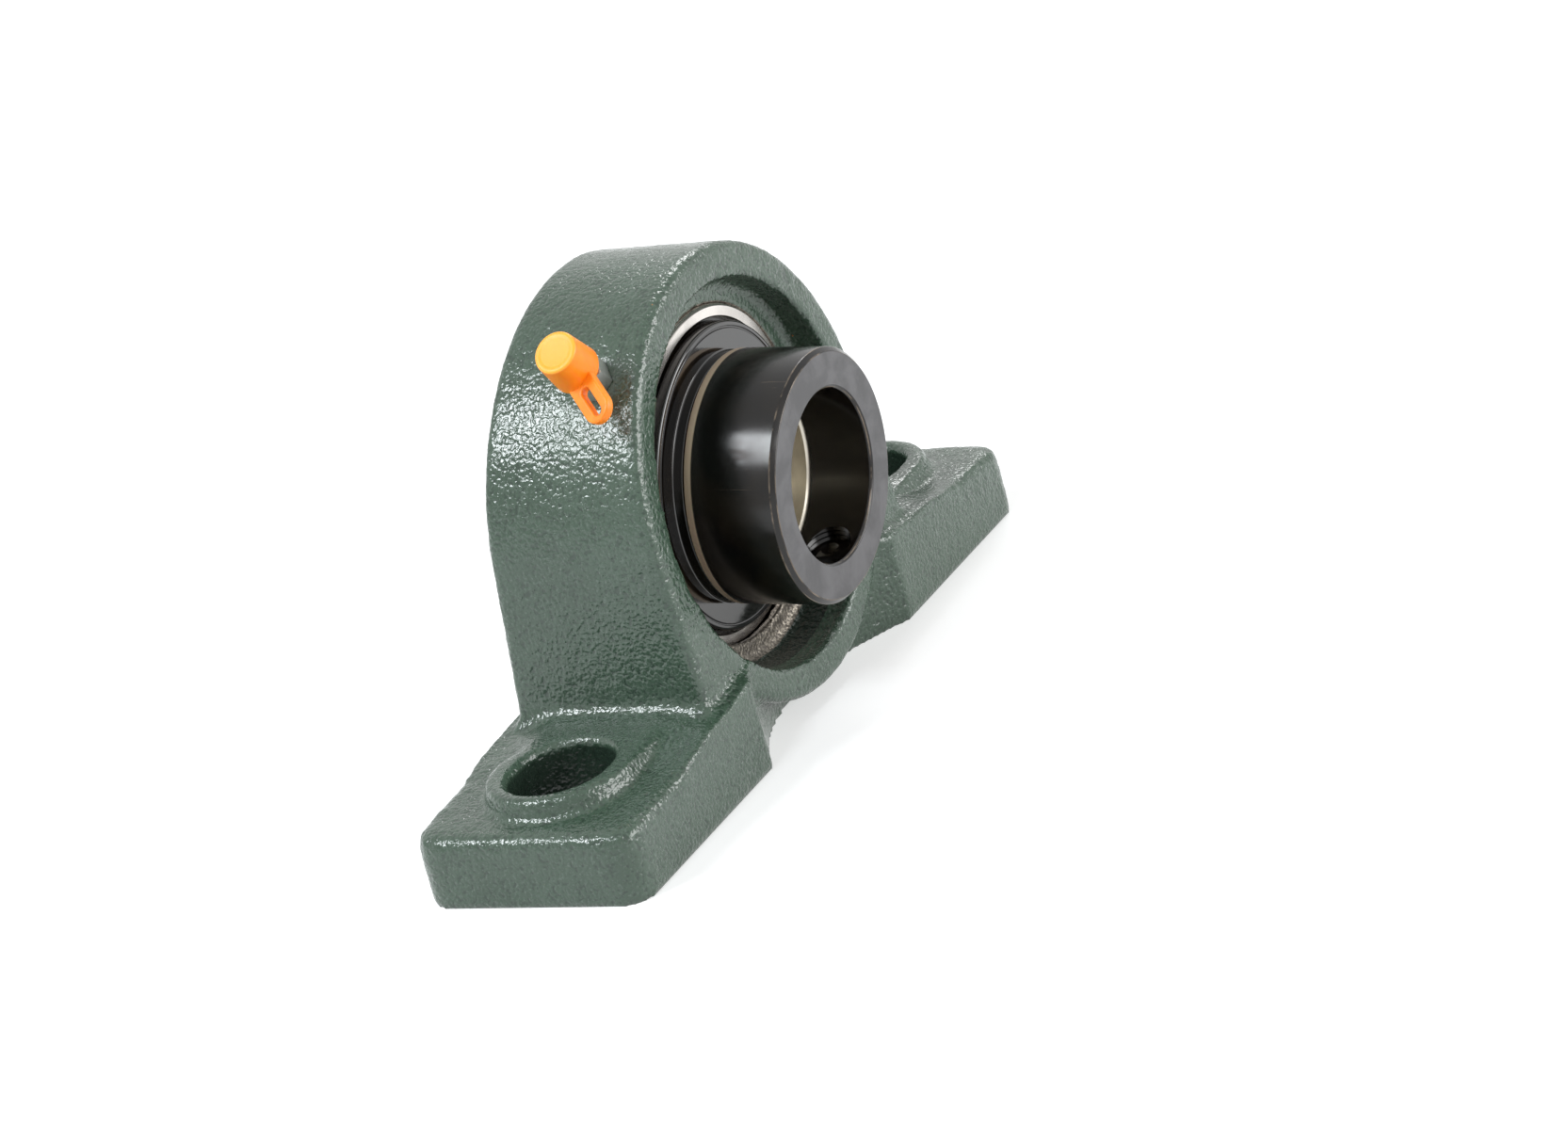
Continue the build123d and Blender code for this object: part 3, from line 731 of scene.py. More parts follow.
@dataclass(frozen=True)
class CastEnamel:
    """Green enamel over rough cast iron: darkened as painted shade in the recess, the bolt slots and the
    skin's hollows, chipped, and off the machined seat.

    A range is where a mask starts and where it is full, a share is how much of a colour a mask brings,
    and a scale is in cells per metre.
    """

    effects: Effects
    insert: Axis
    paint: Colour = (0.038, 0.070, 0.045)
    pale: Colour = (0.061, 0.101, 0.070)
    # The colour of the painted shade in the skin's hollows.
    painted_hollow_shade: Colour = (0.016, 0.032, 0.022)
    fleck: Colour = (0.092, 0.130, 0.102)
    # The colour of the painted shade in the bolt slots and the recess.
    shade: Colour = (0.010, 0.018, 0.013)
    rust: Colour = (0.36, 0.15, 0.045)
    iron: Colour = (0.20, 0.178, 0.145)
    soot: Colour = (0.085, 0.074, 0.062)
    specular: float = 0.66
    gloss: Point = (0.12, 0.22)
    peel: float = 0.12 * MM
    skin_scale: float = 1400.0
    hollow_share: float = 0.62
    smudge_scale: float = 45.0
    smudge_share: float = 0.45
    fleck_scale: float = 1700.0
    fleck_range: Point = (0.52, 0.70)
    fleck_share: float = 0.65
    wear_range: Point = (0.55, 0.64)
    wear_share: float = 0.20
    wear_ridge: float = 2.0
    metal_scale: float = 2400.0
    metal_range: Point = (0.40, 0.60)
    bare_roughness: float = 0.36
    bare_metallic: float = 0.7
    seat_radius: float = 34.9 * MM
    sphere: float = 30.0 * MM
    bare_reach: float = 10.35 * MM
    bare_way: Vector = Vector((-0.40, 0.0, -0.917))
    bare_range: Point = (0.2, 0.5)
    bare_scale: float = 420.0
    bare_ragged: float = 0.4
    # Where the bolt slots' walls get painted shade.
    hole_centre: float = 60.5 * MM
    hole_run: float = 1.4 * MM
    hole_radius: float = 9.15 * MM
    hole_top: float = 16.3 * MM
    hole_fade: float = 1.2 * MM
    hole_share: float = 0.75
    # Where the recess's lower wall gets painted shade.
    recess_radius: float = 38.2 * MM
    recess_reach: float = 15.2 * MM
    recess_fade: float = 12.0 * MM
    recess_share: float = 0.9
    spot_scale: float = 95.0
    spot_size: float = 0.06
    chip_scale: float = 2600.0
    chip_size: float = 0.75 * MM
    chip_core: float = 0.8
    chip_places: tuple[Vector, ...] = (
        Vector((-14.2, -12.4, 80.2)) * MM,
        Vector((-77.4, -21.0, 13.5)) * MM,
        Vector((-51.9, -14.9, 17.2)) * MM,
        Vector((-70.5, -11.0, 14.5)) * MM,
    )

    def build(self) -> bpy.types.Material:
        """Make the material.

        Returns:
            The material.
        """
        material, graph, shader = new_material("cast_enamel")
        spot = graph.spot()
        skin = graph.effect(self.effects.cast, {"Scale": self.skin_scale})
        smudge = graph.effect(self.effects.smudge, {"Scale": self.smudge_scale})["Mask"]
        wear_low, wear_high = self.wear_range
        wear = graph.effect(self.effects.wear, {"From": wear_low, "To": wear_high})["Mask"]
        chips = graph.effect(self.effects.chips, {"Scale": self.spot_scale, "Size": self.spot_size})["Mask"]
        flecks = graph.step(graph.noise(spot, self.fleck_scale, 2.0, 0.6), *self.fleck_range)
        coats = (
            (graph.times(smudge, self.smudge_share), self.pale),
            (graph.times(flecks, self.fleck_share), self.fleck),
            # Painted shade: the low places of the cast skin are darkened.
            (graph.times(skin["Hollows"], self.hollow_share), self.painted_hollow_shade),
            (graph.times(wear, self.wear_share, clamp=True), self.pale),
            # Painted shade on the bolt slots' walls.
            (graph.times(self.hole_shade_mask(graph, spot), self.hole_share), self.shade),
            # Painted shade on the recess's lower wall.
            (graph.times(self.recess_shade_mask(graph, spot), self.recess_share), self.shade),
            (graph.greater(chips, self.chip_mask(graph, spot)), self.rust),
        )
        tone: object = rgba(self.paint)
        for share, colour in coats:
            tone = graph.mix(share, tone, rgba(colour))
        bare = self.bare_mask(graph, spot)
        clean = graph.step(graph.noise(spot, self.metal_scale, 3.0, 0.6), *self.metal_range)
        metal = graph.mix(clean, rgba(self.soot), rgba(self.iron))
        graph.feed(shader.inputs["Base Color"], graph.mix(bare, tone, metal))
        shader.inputs["Specular IOR Level"].default_value = self.specular
        gloss = graph.blend(smudge, *self.gloss)
        graph.feed(shader.inputs["Roughness"], graph.blend(bare, gloss, self.bare_roughness))
        graph.feed(shader.inputs["Metallic"], graph.times(bare, self.bare_metallic))
        ridge = graph.plus(graph.times(wear, self.wear_ridge), 1.0)
        set_bump(graph, shader, graph.times(skin["Height"], ridge), self.peel)
        return material

    def hole_shade_mask(self, graph: Graph, spot: bpy.types.NodeSocket) -> bpy.types.NodeSocket:
        """The walls of the bolt slots, where the enamel is darkened as painted shade.

        Args:
            graph: the material's graph.
            spot: the object coordinates.

        Returns:
            The mask.
        """
        across, along, height = graph.node("ShaderNodeSeparateXYZ", {0: spot}).outputs
        aside = graph.gap(graph.math("ABSOLUTE", across), self.hole_centre)
        beyond = graph.greater(graph.math("SUBTRACT", aside, self.hole_run), 0.0)
        square = graph.plus(graph.times(beyond, beyond), graph.times(along, along))
        inside = graph.below(square, self.hole_radius ** 2)
        return graph.times(inside, graph.step(height, self.hole_top, self.hole_top - self.hole_fade))

    def recess_shade_mask(self, graph: Graph, spot: bpy.types.NodeSocket) -> bpy.types.NodeSocket:
        """The lower wall of the recess round the insert, where the enamel is darkened as painted shade.

        Args:
            graph: the material's graph.
            spot: the object coordinates.

        Returns:
            The mask.
        """
        turned = self.effects.turned(graph, self.insert)
        height = graph.node("ShaderNodeSeparateXYZ", {0: spot}).outputs["Z"]
        inside = graph.below(turned["Radius"], self.recess_radius)
        near = graph.below(graph.math("ABSOLUTE", turned["Station"]), self.recess_reach)
        middle = self.insert.origin.z
        low = graph.step(height, middle + self.recess_fade, middle - self.recess_fade)
        return graph.times(graph.times(inside, near), low)

    def chip_mask(self, graph: Graph, spot: bpy.types.NodeSocket) -> bpy.types.NodeSocket:
        """Small ragged chips on the edges, where rust shows.

        Args:
            graph: the material's graph.
            spot: the object coordinates.

        Returns:
            The mask.
        """
        ragged = graph.times(graph.noise(spot, self.chip_scale, 3.0, 0.6), self.chip_size)
        total: object = 0.0
        for chip in self.chip_places:
            reach = graph.plus(graph.vector("DISTANCE", spot, chip)["Value"], ragged)
            total = graph.greater(total, graph.step(reach, self.chip_size, self.chip_core * self.chip_size))
        return total

    def bare_mask(self, graph: Graph, spot: bpy.types.NodeSocket) -> bpy.types.NodeSocket:
        """Where the enamel is missing: the spherical seat, and the flat round it one way down.

        Args:
            graph: the material's graph.
            spot: the object coordinates.

        Returns:
            The mask.
        """
        turned = self.effects.turned(graph, self.insert)
        offset = graph.vector("SUBTRACT", spot, self.insert.origin)["Vector"]
        down = graph.vector("DOT_PRODUCT", offset, self.bare_way)["Value"]
        ragged = graph.math("SUBTRACT", graph.noise(spot, self.bare_scale, 4.0, 0.65), 0.5)
        share = graph.math("DIVIDE", down, self.seat_radius)
        share = graph.plus(share, graph.times(ragged, self.bare_ragged))
        limit = graph.blend(graph.step(share, *self.bare_range), self.sphere, self.seat_radius)
        near = graph.below(graph.math("ABSOLUTE", turned["Station"]), self.bare_reach)
        return graph.times(near, graph.below(turned["Radius"], limit))


@dataclass(frozen=True)
class TurnedSteel:
    """Turned or ground bare steel with fine rings about its axis."""

    effects: Effects
    axis: Axis
    name: str
    colour: Colour = (0.62, 0.59, 0.545)
    dull: float = 0.78
    roughness: float = 0.22
    roughness_range: Point = (0.8, 1.3)
    smudge_scale: float = 90.0
    scale: float = 9000.0
    depth: float = 0.003 * MM

    def build(self) -> bpy.types.Material:
        """Make the material.

        Returns:
            The material.
        """
        material, graph, shader = new_material(self.name)
        rings = self.effects.turned(graph, self.axis, self.scale)["Rings"]
        smudge = graph.effect(self.effects.smudge, {"Scale": self.smudge_scale})["Mask"]
        dull = tuple(self.dull * part for part in self.colour)
        graph.feed(shader.inputs["Base Color"], graph.mix(smudge, rgba(self.colour), rgba(dull)))
        shader.inputs["Metallic"].default_value = 1.0
        smoothest, roughest = (share * self.roughness for share in self.roughness_range)
        graph.feed(shader.inputs["Roughness"], graph.blend(rings, smoothest, roughest))
        set_bump(graph, shader, rings, self.depth)
        return material


@dataclass(frozen=True)
class BlackOxide:
    """Black-oxided steel: glossy and oily, with faint turning rings, hairlines and rubbed edges."""

    effects: Effects
    axis: Axis
    name: str
    colour: Colour = (0.0035, 0.0032, 0.0032)
    brown: Colour = (0.00785, 0.00552, 0.00352)
    bare: Colour = (0.80, 0.62, 0.45)
    specular: float = 0.42
    roughness: float = 0.19
    roughness_range: Point = (0.85, 1.25)
    bare_roughness: float = 0.32
    bare_metallic: float = 0.6
    smudge_scale: float = 80.0
    scale: float = 5000.0
    depth: float = 0.0005 * MM
    worn: float = 0.5
    wear_range: Point = (0.56, 0.68)
    scratched: float = 0.04
    band: Point = (0.0, 0.0)
    band_fade: float = 0.15 * MM
    rims: tuple[Point, ...] = ()
    rim_reach: float = 0.22 * MM
    rim_wear: float = 0.22
    rim_scale: float = 170.0
    rim_range: Point = (0.40, 0.66)

    def build(self) -> bpy.types.Material:
        """Make the material.

        Returns:
            The material.
        """
        material, graph, shader = new_material(self.name)
        turned = self.effects.turned(graph, self.axis, self.scale)
        smudge = graph.effect(self.effects.smudge, {"Scale": self.smudge_scale})["Mask"]
        wear_low, wear_high = self.wear_range
        wear = graph.effect(self.effects.wear, {"From": wear_low, "To": wear_high})["Mask"]
        lines = graph.effect(self.effects.scratch, {"Direction": self.axis.direction})["Mask"]
        rubbed = graph.greater(graph.times(wear, self.worn, clamp=True), graph.times(lines, self.scratched))
        if self.band[1] > self.band[0]:
            rubbed = graph.greater(rubbed, self.bare_band(graph, turned["Station"]))
        if self.rims:
            rubbed = graph.greater(rubbed, self.bare_rims(graph, turned))
        tone = graph.mix(smudge, rgba(self.colour), rgba(self.brown))
        graph.feed(shader.inputs["Base Color"], graph.mix(rubbed, tone, rgba(self.bare)))
        graph.feed(shader.inputs["Metallic"], graph.times(rubbed, self.bare_metallic))
        shader.inputs["Specular IOR Level"].default_value = self.specular
        smoothest, roughest = (share * self.roughness for share in self.roughness_range)
        gloss = graph.blend(smudge, smoothest, roughest)
        graph.feed(shader.inputs["Roughness"], graph.blend(rubbed, gloss, self.bare_roughness))
        set_bump(graph, shader, turned["Rings"], self.depth)
        return material

    def bare_band(self, graph: Graph, station: bpy.types.NodeSocket) -> bpy.types.NodeSocket:
        """The band at which the black has been rubbed or turned through to the steel.

        Args:
            graph: the material's graph.
            station: the station along the axis.

        Returns:
            The mask.
        """
        first, last = self.band
        begun = graph.step(station, first - self.band_fade, first + self.band_fade)
        return graph.times(begun, graph.step(station, last + self.band_fade, last - self.band_fade))

    def bare_rims(self, graph: Graph, turned: Outputs) -> bpy.types.NodeSocket:
        """The turned edges from which handling has rubbed the black in patches.

        Args:
            graph: the material's graph.
            turned: the outputs Radius and Station of the lathe marks.

        Returns:
            The mask.
        """
        total: object = 0.0
        for radius, station in self.rims:
            away = graph.plus(graph.gap(turned["Radius"], radius), graph.gap(turned["Station"], station))
            total = graph.greater(total, graph.step(away, self.rim_reach, 0.5 * self.rim_reach))
        patches = graph.step(graph.noise(graph.spot(), self.rim_scale, 4.0, 0.65), *self.rim_range)
        return graph.times(graph.times(total, patches), self.rim_wear)


@dataclass(frozen=True)
class BlastedFace:
    """The collar's flat face: grey-black, matt and finely grained."""

    effects: Effects
    axis: Axis
    colour: Colour = (0.045, 0.044, 0.046)
    pale: Colour = (0.088, 0.086, 0.090)
    roughness: float = 0.42
    roughness_range: Point = (0.85, 1.15)
    smudge_scale: float = 130.0
    ring_scale: float = 4000.0
    grain_scale: float = 5200.0
    grain_range: Point = (0.5, 0.7)
    grain_share: float = 0.4
    grain_height: float = 0.6
    depth: float = 0.006 * MM

    def build(self) -> bpy.types.Material:
        """Make the material.

        Returns:
            The material.
        """
        material, graph, shader = new_material("collar_face")
        rings = self.effects.turned(graph, self.axis, self.ring_scale)["Rings"]
        smudge = graph.effect(self.effects.smudge, {"Scale": self.smudge_scale})["Mask"]
        grain = graph.noise(graph.spot(), self.grain_scale, 3.0, 0.6)
        tone = graph.mix(smudge, rgba(self.colour), rgba(self.pale))
        grainy = graph.times(graph.step(grain, *self.grain_range), self.grain_share)
        graph.feed(shader.inputs["Base Color"], graph.mix(grainy, tone, rgba(self.pale)))
        smoothest, roughest = (share * self.roughness for share in self.roughness_range)
        graph.feed(shader.inputs["Roughness"], graph.blend(grain, smoothest, roughest))
        ringed = graph.times(rings, 1.0 - self.grain_height)
        height = graph.plus(graph.times(grain, self.grain_height), ringed)
        set_bump(graph, shader, height, self.depth)
        return material


@dataclass(frozen=True)
class SoftPlastic:
    """Soft moulded plastic that light soaks into, with painted light on its flat end: a paler, yellower
    orange there.
    """

    effects: Effects
    axis: Axis
    colour: Colour = (1.0, 0.235, 0.003)
    tint: Colour = (1.0, 0.29, 0.006)
    # The flat end's colour is painted light: a paler copy of the orange for the brighter light on the end.
    end: Colour = (1.0, 0.44, 0.038)
    end_station: float = 12.6 * MM
    end_fade: float = 0.25 * MM
    roughness: Point = (0.36, 0.46)
    soak: float = 0.2
    soak_reach: Colour = (1.0, 0.4, 0.1)
    soak_depth: float = 1.2 * MM
    smudge_scale: float = 160.0
    grain_scale: float = 1500.0
    grain_depth: float = 0.02 * MM
    grain_strength: float = 0.5

    def build(self) -> bpy.types.Material:
        """Make the material.

        Returns:
            The material.
        """
        material, graph, shader = new_material("orange_cap")
        smudge = graph.effect(self.effects.smudge, {"Scale": self.smudge_scale})["Mask"]
        tone = graph.mix(smudge, rgba(self.colour), rgba(self.tint))
        station = self.effects.turned(graph, self.axis)["Station"]
        # Painted light: the flat end takes the paler colour.
        painted_light_end = graph.step(station, self.end_station - self.end_fade, self.end_station + self.end_fade)
        graph.feed(shader.inputs["Base Color"], graph.mix(painted_light_end, tone, rgba(self.end)))
        graph.feed(shader.inputs["Roughness"], graph.blend(smudge, *self.roughness))
        shader.inputs["Subsurface Weight"].default_value = self.soak
        shader.inputs["Subsurface Radius"].default_value = self.soak_reach
        shader.inputs["Subsurface Scale"].default_value = self.soak_depth
        grain = graph.noise(graph.spot(), self.grain_scale, 2.0)
        set_bump(graph, shader, grain, self.grain_depth, self.grain_strength)
        return material


@dataclass(frozen=True)
class Rubber:
    """Matt black nitrile rubber."""

    effects: Effects
    colour: Colour = (0.018, 0.018, 0.019)
    dust: float = 2.2
    roughness: Point = (0.5, 0.7)
    grain_scale: float = 2500.0
    grain_depth: float = 0.02 * MM
    grain_strength: float = 0.6

    def build(self) -> bpy.types.Material:
        """Make the material.

        Returns:
            The material.
        """
        material, graph, shader = new_material("nitrile_rubber")
        smudge = graph.effect(self.effects.smudge)["Mask"]
        dusty = tuple(self.dust * part for part in self.colour)
        graph.feed(shader.inputs["Base Color"], graph.mix(smudge, rgba(self.colour), rgba(dusty)))
        graph.feed(shader.inputs["Roughness"], graph.blend(smudge, *self.roughness))
        grain = graph.noise(graph.spot(), self.grain_scale, 2.0)
        set_bump(graph, shader, grain, self.grain_depth, self.grain_strength)
        return material


# ---------------------------------------------------------------------------------------------
# Sub-assemblies
# ---------------------------------------------------------------------------------------------


def hand_over(piece: bpy.types.Object, material: bpy.types.Material, body: Body,
              stands_for: Sequence[str]) -> None:
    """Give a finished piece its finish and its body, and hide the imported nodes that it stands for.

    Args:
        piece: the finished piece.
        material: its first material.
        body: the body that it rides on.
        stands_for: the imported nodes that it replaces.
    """
    if not piece.data.materials:
        piece.data.materials.append(material)
    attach(piece, body.value)
    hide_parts(*stands_for)
    log.info("%s: %d faces on %s", piece.name, len(piece.data.polygons), body.value)


@dataclass
class Housing:
    """The cast housing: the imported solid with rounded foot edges, lowered margins and a rough skin."""

    source: bpy.types.Object
    insert: Axis
    weld: float = 0.001 * MM
    cell: float = 0.70 * MM
    lump_size: float = 1.6 * MM
    lump_height: float = 0.36 * MM
    wave_size: float = 9.0 * MM
    wave_height: float = 0.30 * MM
    octaves: int = 2
    zero_level: float = 0.55
    face_share: float = 0.55
    corner_share: float = 1.0
    base_fade: float = 1.0 * MM
    seat_radius: float = 33.4 * MM
    seat_reach: float = 10.0 * MM
    spot_radius: float = 5.2 * MM
    spot_span: Point = (-8.0 * MM, 3.0 * MM)
    spot_share: float = 0.15
    foot_start: float = 58.0 * MM
    foot_end: float = 75.5 * MM
    foot_side: float = 15.4 * MM
    foot_low: float = 9.0 * MM
    foot_passes: int = 36
    foot_factor: float = 0.5
    ramp_start: float = 59.0 * MM
    ramp_height: float = 13.9 * MM
    ramp_slope: float = 0.055
    ramp_front: float = 0.5
    ramp_beside_pad: Point = (9.5 * MM, 18.5 * MM)
    ramp_before_hub: Point = (17.0 * MM, 21.0 * MM)
    ramp_at_end: Point = (53.0 * MM, 59.0 * MM)
    ramp_at_hub: Point = (40.4 * MM, 43.4 * MM)
    ramp_at_waist: Point = (30.0 * MM, 38.0 * MM)
    ramp_top: float = 18.5 * MM

    def build(self, nipple: Axis) -> bpy.types.Object:
        """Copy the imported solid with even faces, lower its margins, round its feet and raise the cast skin.

        Args:
            nipple: the grease nipple's axis, round which the flat stays smooth.

        Returns:
            The skin.
        """
        piece = self.copy_solid()
        apply_modifier(piece, "REMESH", mode="VOXEL", voxel_size=self.cell, use_smooth_shade=True)
        rough = piece.vertex_groups.new(name="rough")
        edges = piece.vertex_groups.new(name="foot_edges")
        for vertex in piece.data.vertices:
            vertex.co.z -= self.margin_drop(vertex.co)
            share = self.roughness_at(vertex.co, nipple)
            if self.on_foot_edge(vertex.co):
                edges.add([vertex.index], 1.0, "REPLACE")
                share *= self.corner_share / self.face_share
            rough.add([vertex.index], share, "REPLACE")
        apply_modifier(piece, "SMOOTH", factor=self.foot_factor, iterations=self.foot_passes,
                       vertex_group="foot_edges")
        self.raise_skin(piece, "cast_waves", self.wave_size, self.wave_height)
        self.raise_skin(piece, "cast_lumps", self.lump_size, self.lump_height)
        return piece

    def copy_solid(self) -> bpy.types.Object:
        """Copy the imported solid, free of its parent, finishes and properties, and weld its faces.

        Returns:
            The copy.
        """
        piece = self.source.copy()
        piece.data = self.source.data.copy()
        piece.data.materials.clear()
        piece.parent = None
        for key in list(piece.keys()):
            del piece[key]
        bpy.context.scene.collection.objects.link(piece)
        piece.name = "housing_casting"
        piece.data.name = piece.name
        make_active(piece)
        bpy.ops.object.mode_set(mode="EDIT")
        bpy.ops.mesh.select_all(action="SELECT")
        bpy.ops.mesh.remove_doubles(threshold=self.weld)
        bpy.ops.object.mode_set(mode="OBJECT")
        return piece

    def roughness_at(self, point: Vector, nipple: Axis) -> float:
        """How much of the cast skin shows at a point.

        The base plane and the seat have none of it, and the spot face round the nipple has little.

        Args:
            point: a point of the surface.
            nipple: the grease nipple's axis.

        Returns:
            The share, from 0 to 1.
        """
        offset = point - self.insert.origin
        radius = math.hypot(offset.x, offset.z)
        if radius < self.seat_radius and abs(offset.y) < self.seat_reach:
            return 0.0
        beside = point - nipple.origin
        along = beside.dot(nipple.direction)
        low, high = self.spot_span
        if low < along < high and (beside - nipple.direction * along).length < self.spot_radius:
            return self.spot_share
        return self.face_share * min(1.0, max(0.0, point.z / self.base_fade))

    def margin_drop(self, point: Vector) -> float:
        """How far the margins of both feet lie below the solid's at a point.

        Beside the pad and before the hub the margins climb evenly to the hub instead of stepping up. Those at
        the back drop by the whole step, those on the collar's side by a share of it.

        Args:
            point: a point of the surface.

        Returns:
            The drop.
        """
        across, aside = abs(point.x), abs(point.y)
        over = point.z - self.ramp_height - self.ramp_slope * (self.ramp_start - across)
        if over <= 0.0 or point.z > self.ramp_top or across > self.ramp_start:
            return 0.0
        beside_pad = ease(aside, *self.ramp_beside_pad) * (1.0 - ease(across, *self.ramp_at_end))
        before_hub = ease(aside, *self.ramp_before_hub) * ease(across, *self.ramp_at_waist)
        outside = ease(across, *self.ramp_at_hub)
        share = outside * beside_pad + (1.0 - outside) * before_hub
        return over * share * (1.0 if point.y > 0.0 else self.ramp_front)

    def on_foot_edge(self, point: Vector) -> bool:
        """Whether a point lies near the top edge of a foot, which the casting rounds generously.

        Args:
            point: a point of the surface.

        Returns:
            True near the edge.
        """
        across, aside = abs(point.x), abs(point.y)
        near_rim = across > self.foot_end or aside > self.foot_side
        return point.z > self.foot_low and across > self.foot_start and near_rim

    def raise_skin(self, piece: bpy.types.Object, name: str, size: float, height: float) -> None:
        """Displace the skin by one layer of noise.

        Args:
            piece: the skin.
            name: the texture's name.
            size: the width of a lump.
            height: the range of the heights.
        """
        texture = bpy.data.textures.new(name, "CLOUDS")
        texture.noise_scale = size
        texture.noise_depth = self.octaves
        apply_modifier(piece, "DISPLACE", texture=texture, texture_coords="LOCAL", strength=height,
                       mid_level=self.zero_level, vertex_group="rough")


@dataclass
class Collar:
    """The eccentric locking collar."""

    axis: Axis
    radius: float = 22.25 * MM
    bore: float = 15.05 * MM
    back: float = 12.9 * MM
    front: float = 30.1 * MM
    taper: float = 0.04 * MM
    taper_length: float = 2.0 * MM
    taper_rubbed: float = 0.65
    edge: float = 0.8 * MM
    bore_edge: float = 0.5 * MM
    rounding: float = 0.12 * MM
    rounded_from: float = 20.0
    recess_radius: float = 19.0 * MM
    recess_offset: float = 0.8 * MM
    recess_end: float = 18.2 * MM
    screw_radius: float = 4.03 * MM
    screw_station: float = 24.6 * MM
    thread_start: float = 13.0 * MM
    thread_end: float = 25.0 * MM
    thread_pitch: float = 1.0 * MM
    thread_depth: float = 0.35 * MM
    drift_radius: float = 3.0 * MM
    drift_station: float = 22.0 * MM
    drift_depth: float = 4.5 * MM
    drift_point: float = 1.2 * MM
    drift_angle: float = 125.0
    face_facing: float = 0.98
    face_reach: float = 0.05 * MM

    def build(self, screw: Vector) -> bpy.types.Object:
        """Turn the collar and cut its cam recess and holes.

        Args:
            screw: the direction in which the set screw leaves the collar.

        Returns:
            The collar.
        """
        outline = [
            (self.bore, self.back),
            (self.radius - self.taper, self.back),
            (self.radius, self.back + self.taper_length),
            (self.radius, self.front - self.edge),
            (self.radius - self.edge, self.front),
            (self.bore + self.bore_edge, self.front),
            (self.bore, self.front - self.bore_edge),
        ]
        piece = lathe("collar_turned", outline, RING_STEPS)
        soften(piece, self.rounding, 2, self.rounded_from)
        recess = cylinder("cam_recess", self.recess_radius, self.back - OVERCUT, self.recess_end, 128)
        place(recess, Matrix.Translation((self.recess_offset, 0, 0)))
        cut(piece, recess)
        place(piece, self.axis.matrix())
        cut(piece, self.threaded_cutter(screw))
        cut(piece, self.drift_cutter())
        return piece

    def threaded_cutter(self, screw: Vector) -> bpy.types.Object:
        """A cutter with thread ridges for the set screw's hole.

        Args:
            screw: the direction in which the screw leaves.

        Returns:
            The cutter, in place.
        """
        turns = round((self.thread_end - self.thread_start) / self.thread_pitch)
        outline = [(0, self.thread_start), (self.screw_radius, self.thread_start)]
        outline += ridges(self.screw_radius, self.screw_radius + self.thread_depth, self.thread_start,
                          self.thread_pitch, turns)
        outline.append((0, self.thread_end))
        cutter = lathe("screw_cutter", outline, SMALL_STEPS, False)
        place(cutter, self.axis.branch(self.screw_station, screw).matrix())
        return cutter

    def drift_cutter(self) -> bpy.types.Object:
        """A cutter for the blind hole that takes the locking drift.

        Returns:
            The cutter, in place.
        """
        depth, end = self.radius - self.drift_depth, self.radius + 2 * OVERCUT
        outline = [(0, depth - self.drift_point), (self.drift_radius, depth), (self.drift_radius, end),
                   (0, end)]
        cutter = lathe("drift_cutter", outline, SMALL_STEPS, False)
        angle = math.radians(self.drift_angle)
        across = Vector((1, 0, 0))
        down = across.cross(self.axis.direction)
        if down.z > 0:
            down = -down
        out = across * math.sin(angle) + down * math.cos(angle)
        place(cutter, self.axis.branch(self.drift_station, out).matrix())
        return cutter

    def rubbed_band(self) -> Point:
        """The stretch along the axis, from behind the back, that is rubbed to the steel."""
        return self.back - OVERCUT, self.back + self.taper_rubbed * self.taper_length

    def rims(self) -> tuple[Point, ...]:
        """The turned edges at the front, round the outside and in the bore.

        Returns:
            Each edge as (radius, station).
        """
        half = 0.5 * self.bore_edge
        return ((self.radius, self.front - self.edge), (self.radius - self.edge, self.front),
                (self.bore + half, self.front - half))

    def dress(self, piece: bpy.types.Object, skin: bpy.types.Material, face: bpy.types.Material) -> None:
        """Give the flat front face its own finish, and leave the chamfers black.

        Args:
            piece: the collar.
            skin: the finish all over.
            face: the finish of the front face.
        """
        piece.data.materials.clear()
        piece.data.materials.append(skin)
        piece.data.materials.append(face)
        for polygon in piece.data.polygons:
            station = (polygon.center - self.axis.origin).dot(self.axis.direction)
            facing = polygon.normal.dot(self.axis.direction)
            if facing > self.face_facing and station > self.front - self.face_reach:
                polygon.material_index = 1


@dataclass
class SetScrew:
    """The socket set screw in the collar."""

    axis: Axis
    radius: float = 3.9 * MM
    tip: float = 16.0 * MM
    tip_dish: float = 0.8 * MM
    tip_radius: float = 1.6 * MM
    tip_edge: float = 0.6 * MM
    length: float = 6.0 * MM
    pitch: float = 1.0 * MM
    thread_share: float = 0.35
    key: float = 2.0 * MM
    key_length: float = 6.0 * MM

    def build(self) -> bpy.types.Object:
        """Turn the screw with its thread ridges and cut its hexagon socket.

        Returns:
            The screw.
        """
        core = self.radius - self.thread_share * self.pitch
        start, top = self.tip + self.tip_edge, self.tip + self.length
        turns = int((self.length - 2 * self.tip_edge) / self.pitch)
        outline = [(0, self.tip + self.tip_dish), (self.tip_radius, self.tip), (core, start)]
        outline += ridges(core, self.radius, start, self.pitch, turns)
        outline += [(core, top), (0, top)]
        piece = lathe("set_screw_threaded", outline, SMALL_STEPS, False)
        cut(piece, hexagon_bar("hex_key", self.key, self.key_length, top))
        place(piece, self.axis.matrix())
        return piece


